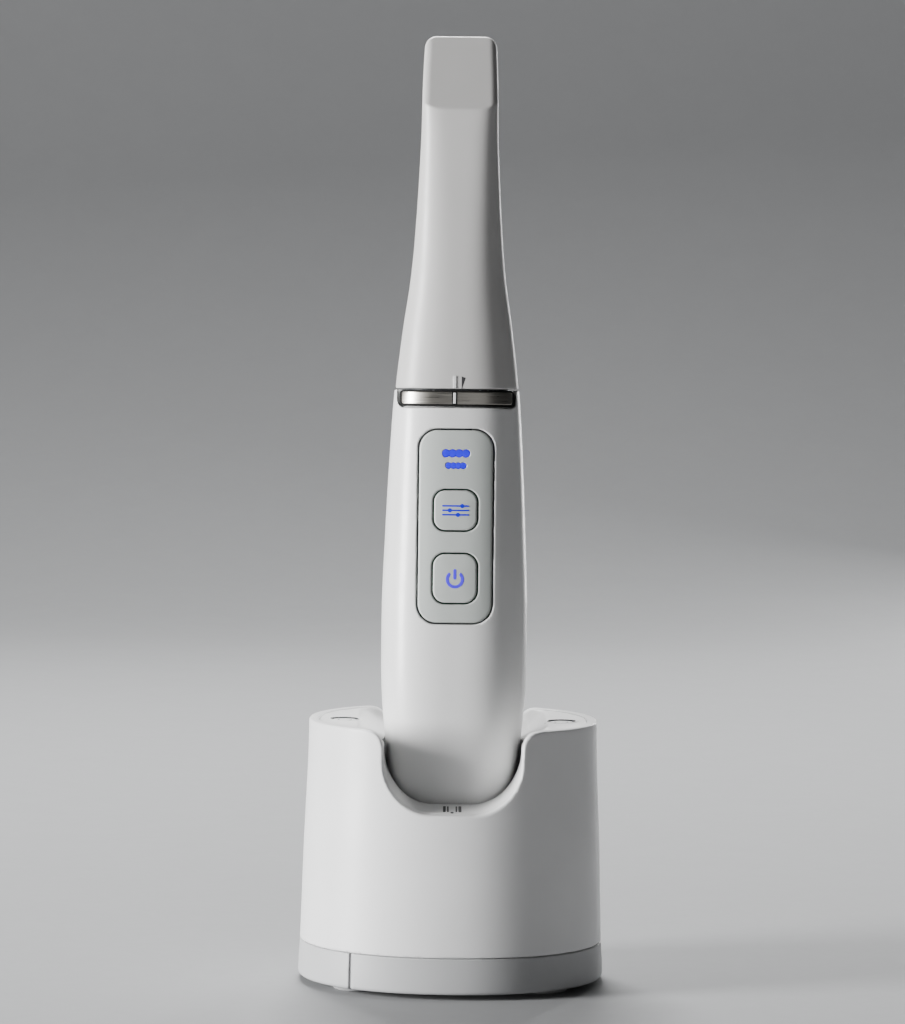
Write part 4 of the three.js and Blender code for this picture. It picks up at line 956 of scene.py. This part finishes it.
# ------------------------------------------------------------------------------------------------
# Printed and lit marks, and painted highlight and shadow at the tip's pointer, each a thin inlay on the
# surface that carries it
# ------------------------------------------------------------------------------------------------

def capsule(x, z, start, end, radius):
    """Distance to a round-ended bar between two points in a plane."""
    run_x, run_z = end[0] - start[0], end[1] - start[1]
    length = max(run_x ** 2 + run_z ** 2, 1e-9)
    share = np.clip(((x - start[0]) * run_x + (z - start[1]) * run_z) / length, 0, 1)
    return np.hypot(x - start[0] - share * run_x, z - start[1] - share * run_z) - radius


def power_symbol(x, z):
    """A ring open at the top, with an upright bar in the opening."""
    ring = np.abs(np.hypot(x, z) - 1.95) - 0.4
    opening = 0.62 * np.maximum(z, 0) + 0.35 - np.abs(x)
    ring = smooth_max(ring, np.minimum(opening, z), 0.1)
    return np.minimum(ring, capsule(x, z, (0, 0.35), (0, 2.3), 0.4))


def sliders_symbol(x, z):
    """Three slide controls, a plain stand-in for the key's legend."""
    field = np.full(np.broadcast(x, z).shape, 1e3)
    for height, knob in ((1.15, 1.7), (0, -1.5), (-1.15, 0.6)):
        field = np.minimum(field, capsule(x, z, (-3.3, height), (3.3, height), 0.21))
        field = np.minimum(field, np.hypot(x - knob, z - height) - 0.55)
    return field


def inlay(name, outline, centre, reach, proud, step, material, body, slot):
    """A thin skin on the wand's front, with an outline round a point (x, along)."""
    def field(x, y, z):
        skin = wand_field(x, y, z)
        sheet = smooth_max(outline(x - centre[0], z - centre[1]), skin - proud, 0.04)
        return np.maximum(np.maximum(sheet, proud - 0.22 - skin), y)

    surface = float(wand_offset(centre[1]) - wand_half_depth(centre[1]))
    low = (centre[0] - reach[0], surface - proud - 0.35, centre[1] - reach[1])
    high = (centre[0] + reach[0], surface + 1.0, centre[1] + reach[1])
    return shell(name, field, low, high, step, WAND_TO_WORLD, material, body, [], slot)


MODE_CENTRE = (0, (MODE["low"] + MODE["high"]) / 2)
POWER_CENTRE = (0, (POWER["low"] + POWER["high"]) / 2 - 0.2)
inlay("mode_symbol", sliders_symbol, MODE_CENTRE, (4, 2), 0.14, (0.08, 0.055, 0.08),
      ICON_BLUE, "mode_key", "status_blue")
inlay("power_symbol", power_symbol, POWER_CENTRE, (2.8, 3), 0.14, (0.08, 0.055, 0.08),
      ICON_VIOLET, "power_key", "status_blue")

COLLAR_MIDDLE = (COLLAR["low"] + COLLAR["high"]) / 2
TICK_X = -0.6
WEDGE_X = 1.65


def wedge_shadow_shape(x, z):
    """The painted shadow beside the tip's raised pointer: a narrow wedge, point down, with an upright left
    side.
    """
    return np.maximum(np.maximum(-0.5 - x, x - 0.33 * (z + 1.4) + 0.3), z + 0.4 * x - 1.4)


# painted shade: a black outline round the collar's white tick, where shade falls beside it
inlay("collar_tick_painted_shade", lambda x, z: np.maximum(np.abs(x) - 0.72, np.abs(z) - 1.58),
      (TICK_X, COLLAR_MIDDLE), (1.1, 2), -0.07, (0.1, 0.06, 0.12), BLACK_RUBBER, "wand", "rubber_black")
inlay("collar_tick", lambda x, z: np.maximum(np.abs(x) - 0.34, np.abs(z) - 1.4),
      (TICK_X, COLLAR_MIDDLE), (0.8, 2), 0.06, (0.08, 0.06, 0.12), PRINT_AND_HIGHLIGHT_WHITE, "wand", "shell_white")
# painted highlight: a raised tick, whiter than the sleeve, for the lit left edge of the tip's raised pointer;
# its relief also catches real light
inlay("tip_tick_painted_highlight", lambda x, z: np.maximum(np.abs(x) - 0.36, np.abs(z) - 1.6),
      (TICK_X, 137.1), (0.8, 2.1), 0.2, (0.08, 0.06, 0.12), PRINT_AND_HIGHLIGHT_WHITE, "tip", "tip_white")
# painted shadow: a dark wedge where shade falls at the right edge of the tip's raised pointer
inlay("tip_wedge_painted_shadow", wedge_shadow_shape, (WEDGE_X, 137.0), (1.4, 2), 0.05, (0.07, 0.06, 0.08),
      PRINT_AND_SHADOW_GREY, "tip", "tip_white")


def lip_mark_field(x, y, z):
    """Two pairs of short bars and a dot between them, on the floor of the front cut."""
    face_y = -cradle_half_width(FRONT_CUT["bottom"]) * CRADLE_DEPTH_RATIO
    floor_z = FRONT_CUT["bottom"] + FRONT_CUT["rise"] * np.abs(y - face_y)
    marks = np.hypot(x, (y + 29.4) * 0.45) - 0.42
    for offset, radius in ((1.1, 0.2), (2.0, 0.36)):
        marks = np.minimum(marks, capsule(np.abs(x), y, (offset, -28.2), (offset, -21.5), radius))
    return np.maximum(marks, np.abs(z - floor_z) - 0.1)


shell("lip_marks", lip_mark_field, (-2.8, -31, FRONT_CUT["bottom"] - 0.4),
      (2.8, -20.5, FRONT_CUT["bottom"] + 2.2), (0.1, 0.14, 0.06),
      CRADLE_TO_WORLD, PRINT_AND_SHADOW_GREY, "cradle", [], "insert_white")


# ------------------------------------------------------------------------------------------------
# Floor, light and camera
# ------------------------------------------------------------------------------------------------

def backdrop():
    """A floor that sweeps up into a wall behind the object."""
    bend_start, radius, top, half_width = 0.9, 0.7, 3.0, 3.2
    line = [(-2.6, 0.0), (bend_start, 0.0)]
    for i in range(1, 17):
        angle = math.pi / 2 * i / 16
        line.append((bend_start + radius * math.sin(angle), radius * (1 - math.cos(angle))))
    line.append((bend_start + radius, top))
    points = [(side * half_width, y, z) for y, z in line for side in (-1, 1)]
    faces = [(2 * i, 2 * i + 1, 2 * i + 3, 2 * i + 2) for i in range(len(line) - 1)]
    finish = moulded("backdrop_paper", (0.32, 0.324, 0.33), 0.85, grain=0.02, uneven=0.01)
    new_object("backdrop", points, faces, Matrix.Identity(4), finish)


def area_light(name, place, target, width, height, watts, colour=(1, 1, 1)):
    lamp = bpy.data.lights.new(name, "AREA")
    lamp.shape = "RECTANGLE"
    lamp.size = width
    lamp.size_y = height
    lamp.energy = watts
    lamp.color = colour
    holder = bpy.data.objects.new(name, lamp)
    aim = Vector(target) - Vector(place)
    holder.matrix_world = Matrix.Translation(place) @ aim.to_track_quat("-Z", "Y").to_matrix().to_4x4()
    bpy.context.scene.collection.objects.link(holder)


backdrop()
area_light("key_left", (-1.15, -0.40, 0.2), (0, 0, 0.13), 0.35, 0.7, 56)
area_light("front_fill", (0.5, -1.9, 0.3), (0, 0, 0.12), 1.0, 0.8, 1.5)
area_light("rim_right", (0.4, 1.0, 0.25), (0, 0, 0.13), 0.1, 0.8, 4.5)
area_light("top_back", (-0.1, 0.62, 0.85), (0, 0, 0.08), 0.4, 0.3, 18)

world = bpy.data.worlds.new("studio")
world.use_nodes = True
world.node_tree.nodes["Background"].inputs["Color"].default_value = (0.55, 0.56, 0.58, 1)
world.node_tree.nodes["Background"].inputs["Strength"].default_value = 0.03
bpy.context.scene.world = world

CAMERA_PLACE = (-0.0008, -1.195, 0.2092)
CAMERA_PITCH = math.radians(4.108)
CAMERA_ROLL = math.radians(0.68)
lens = bpy.data.cameras.new("main_camera")
lens.lens = 160.6
lens.sensor_width = 36
lens.clip_start = 0.01
camera = bpy.data.objects.new("main_camera", lens)
camera.matrix_world = (
    Matrix.Translation(CAMERA_PLACE)
    @ Matrix.Rotation(math.pi / 2 - CAMERA_PITCH, 4, "X")
    @ Matrix.Rotation(CAMERA_ROLL, 4, "Z")
)
bpy.context.scene.collection.objects.link(camera)
bpy.context.scene.camera = camera

bpy.context.view_layer.update()
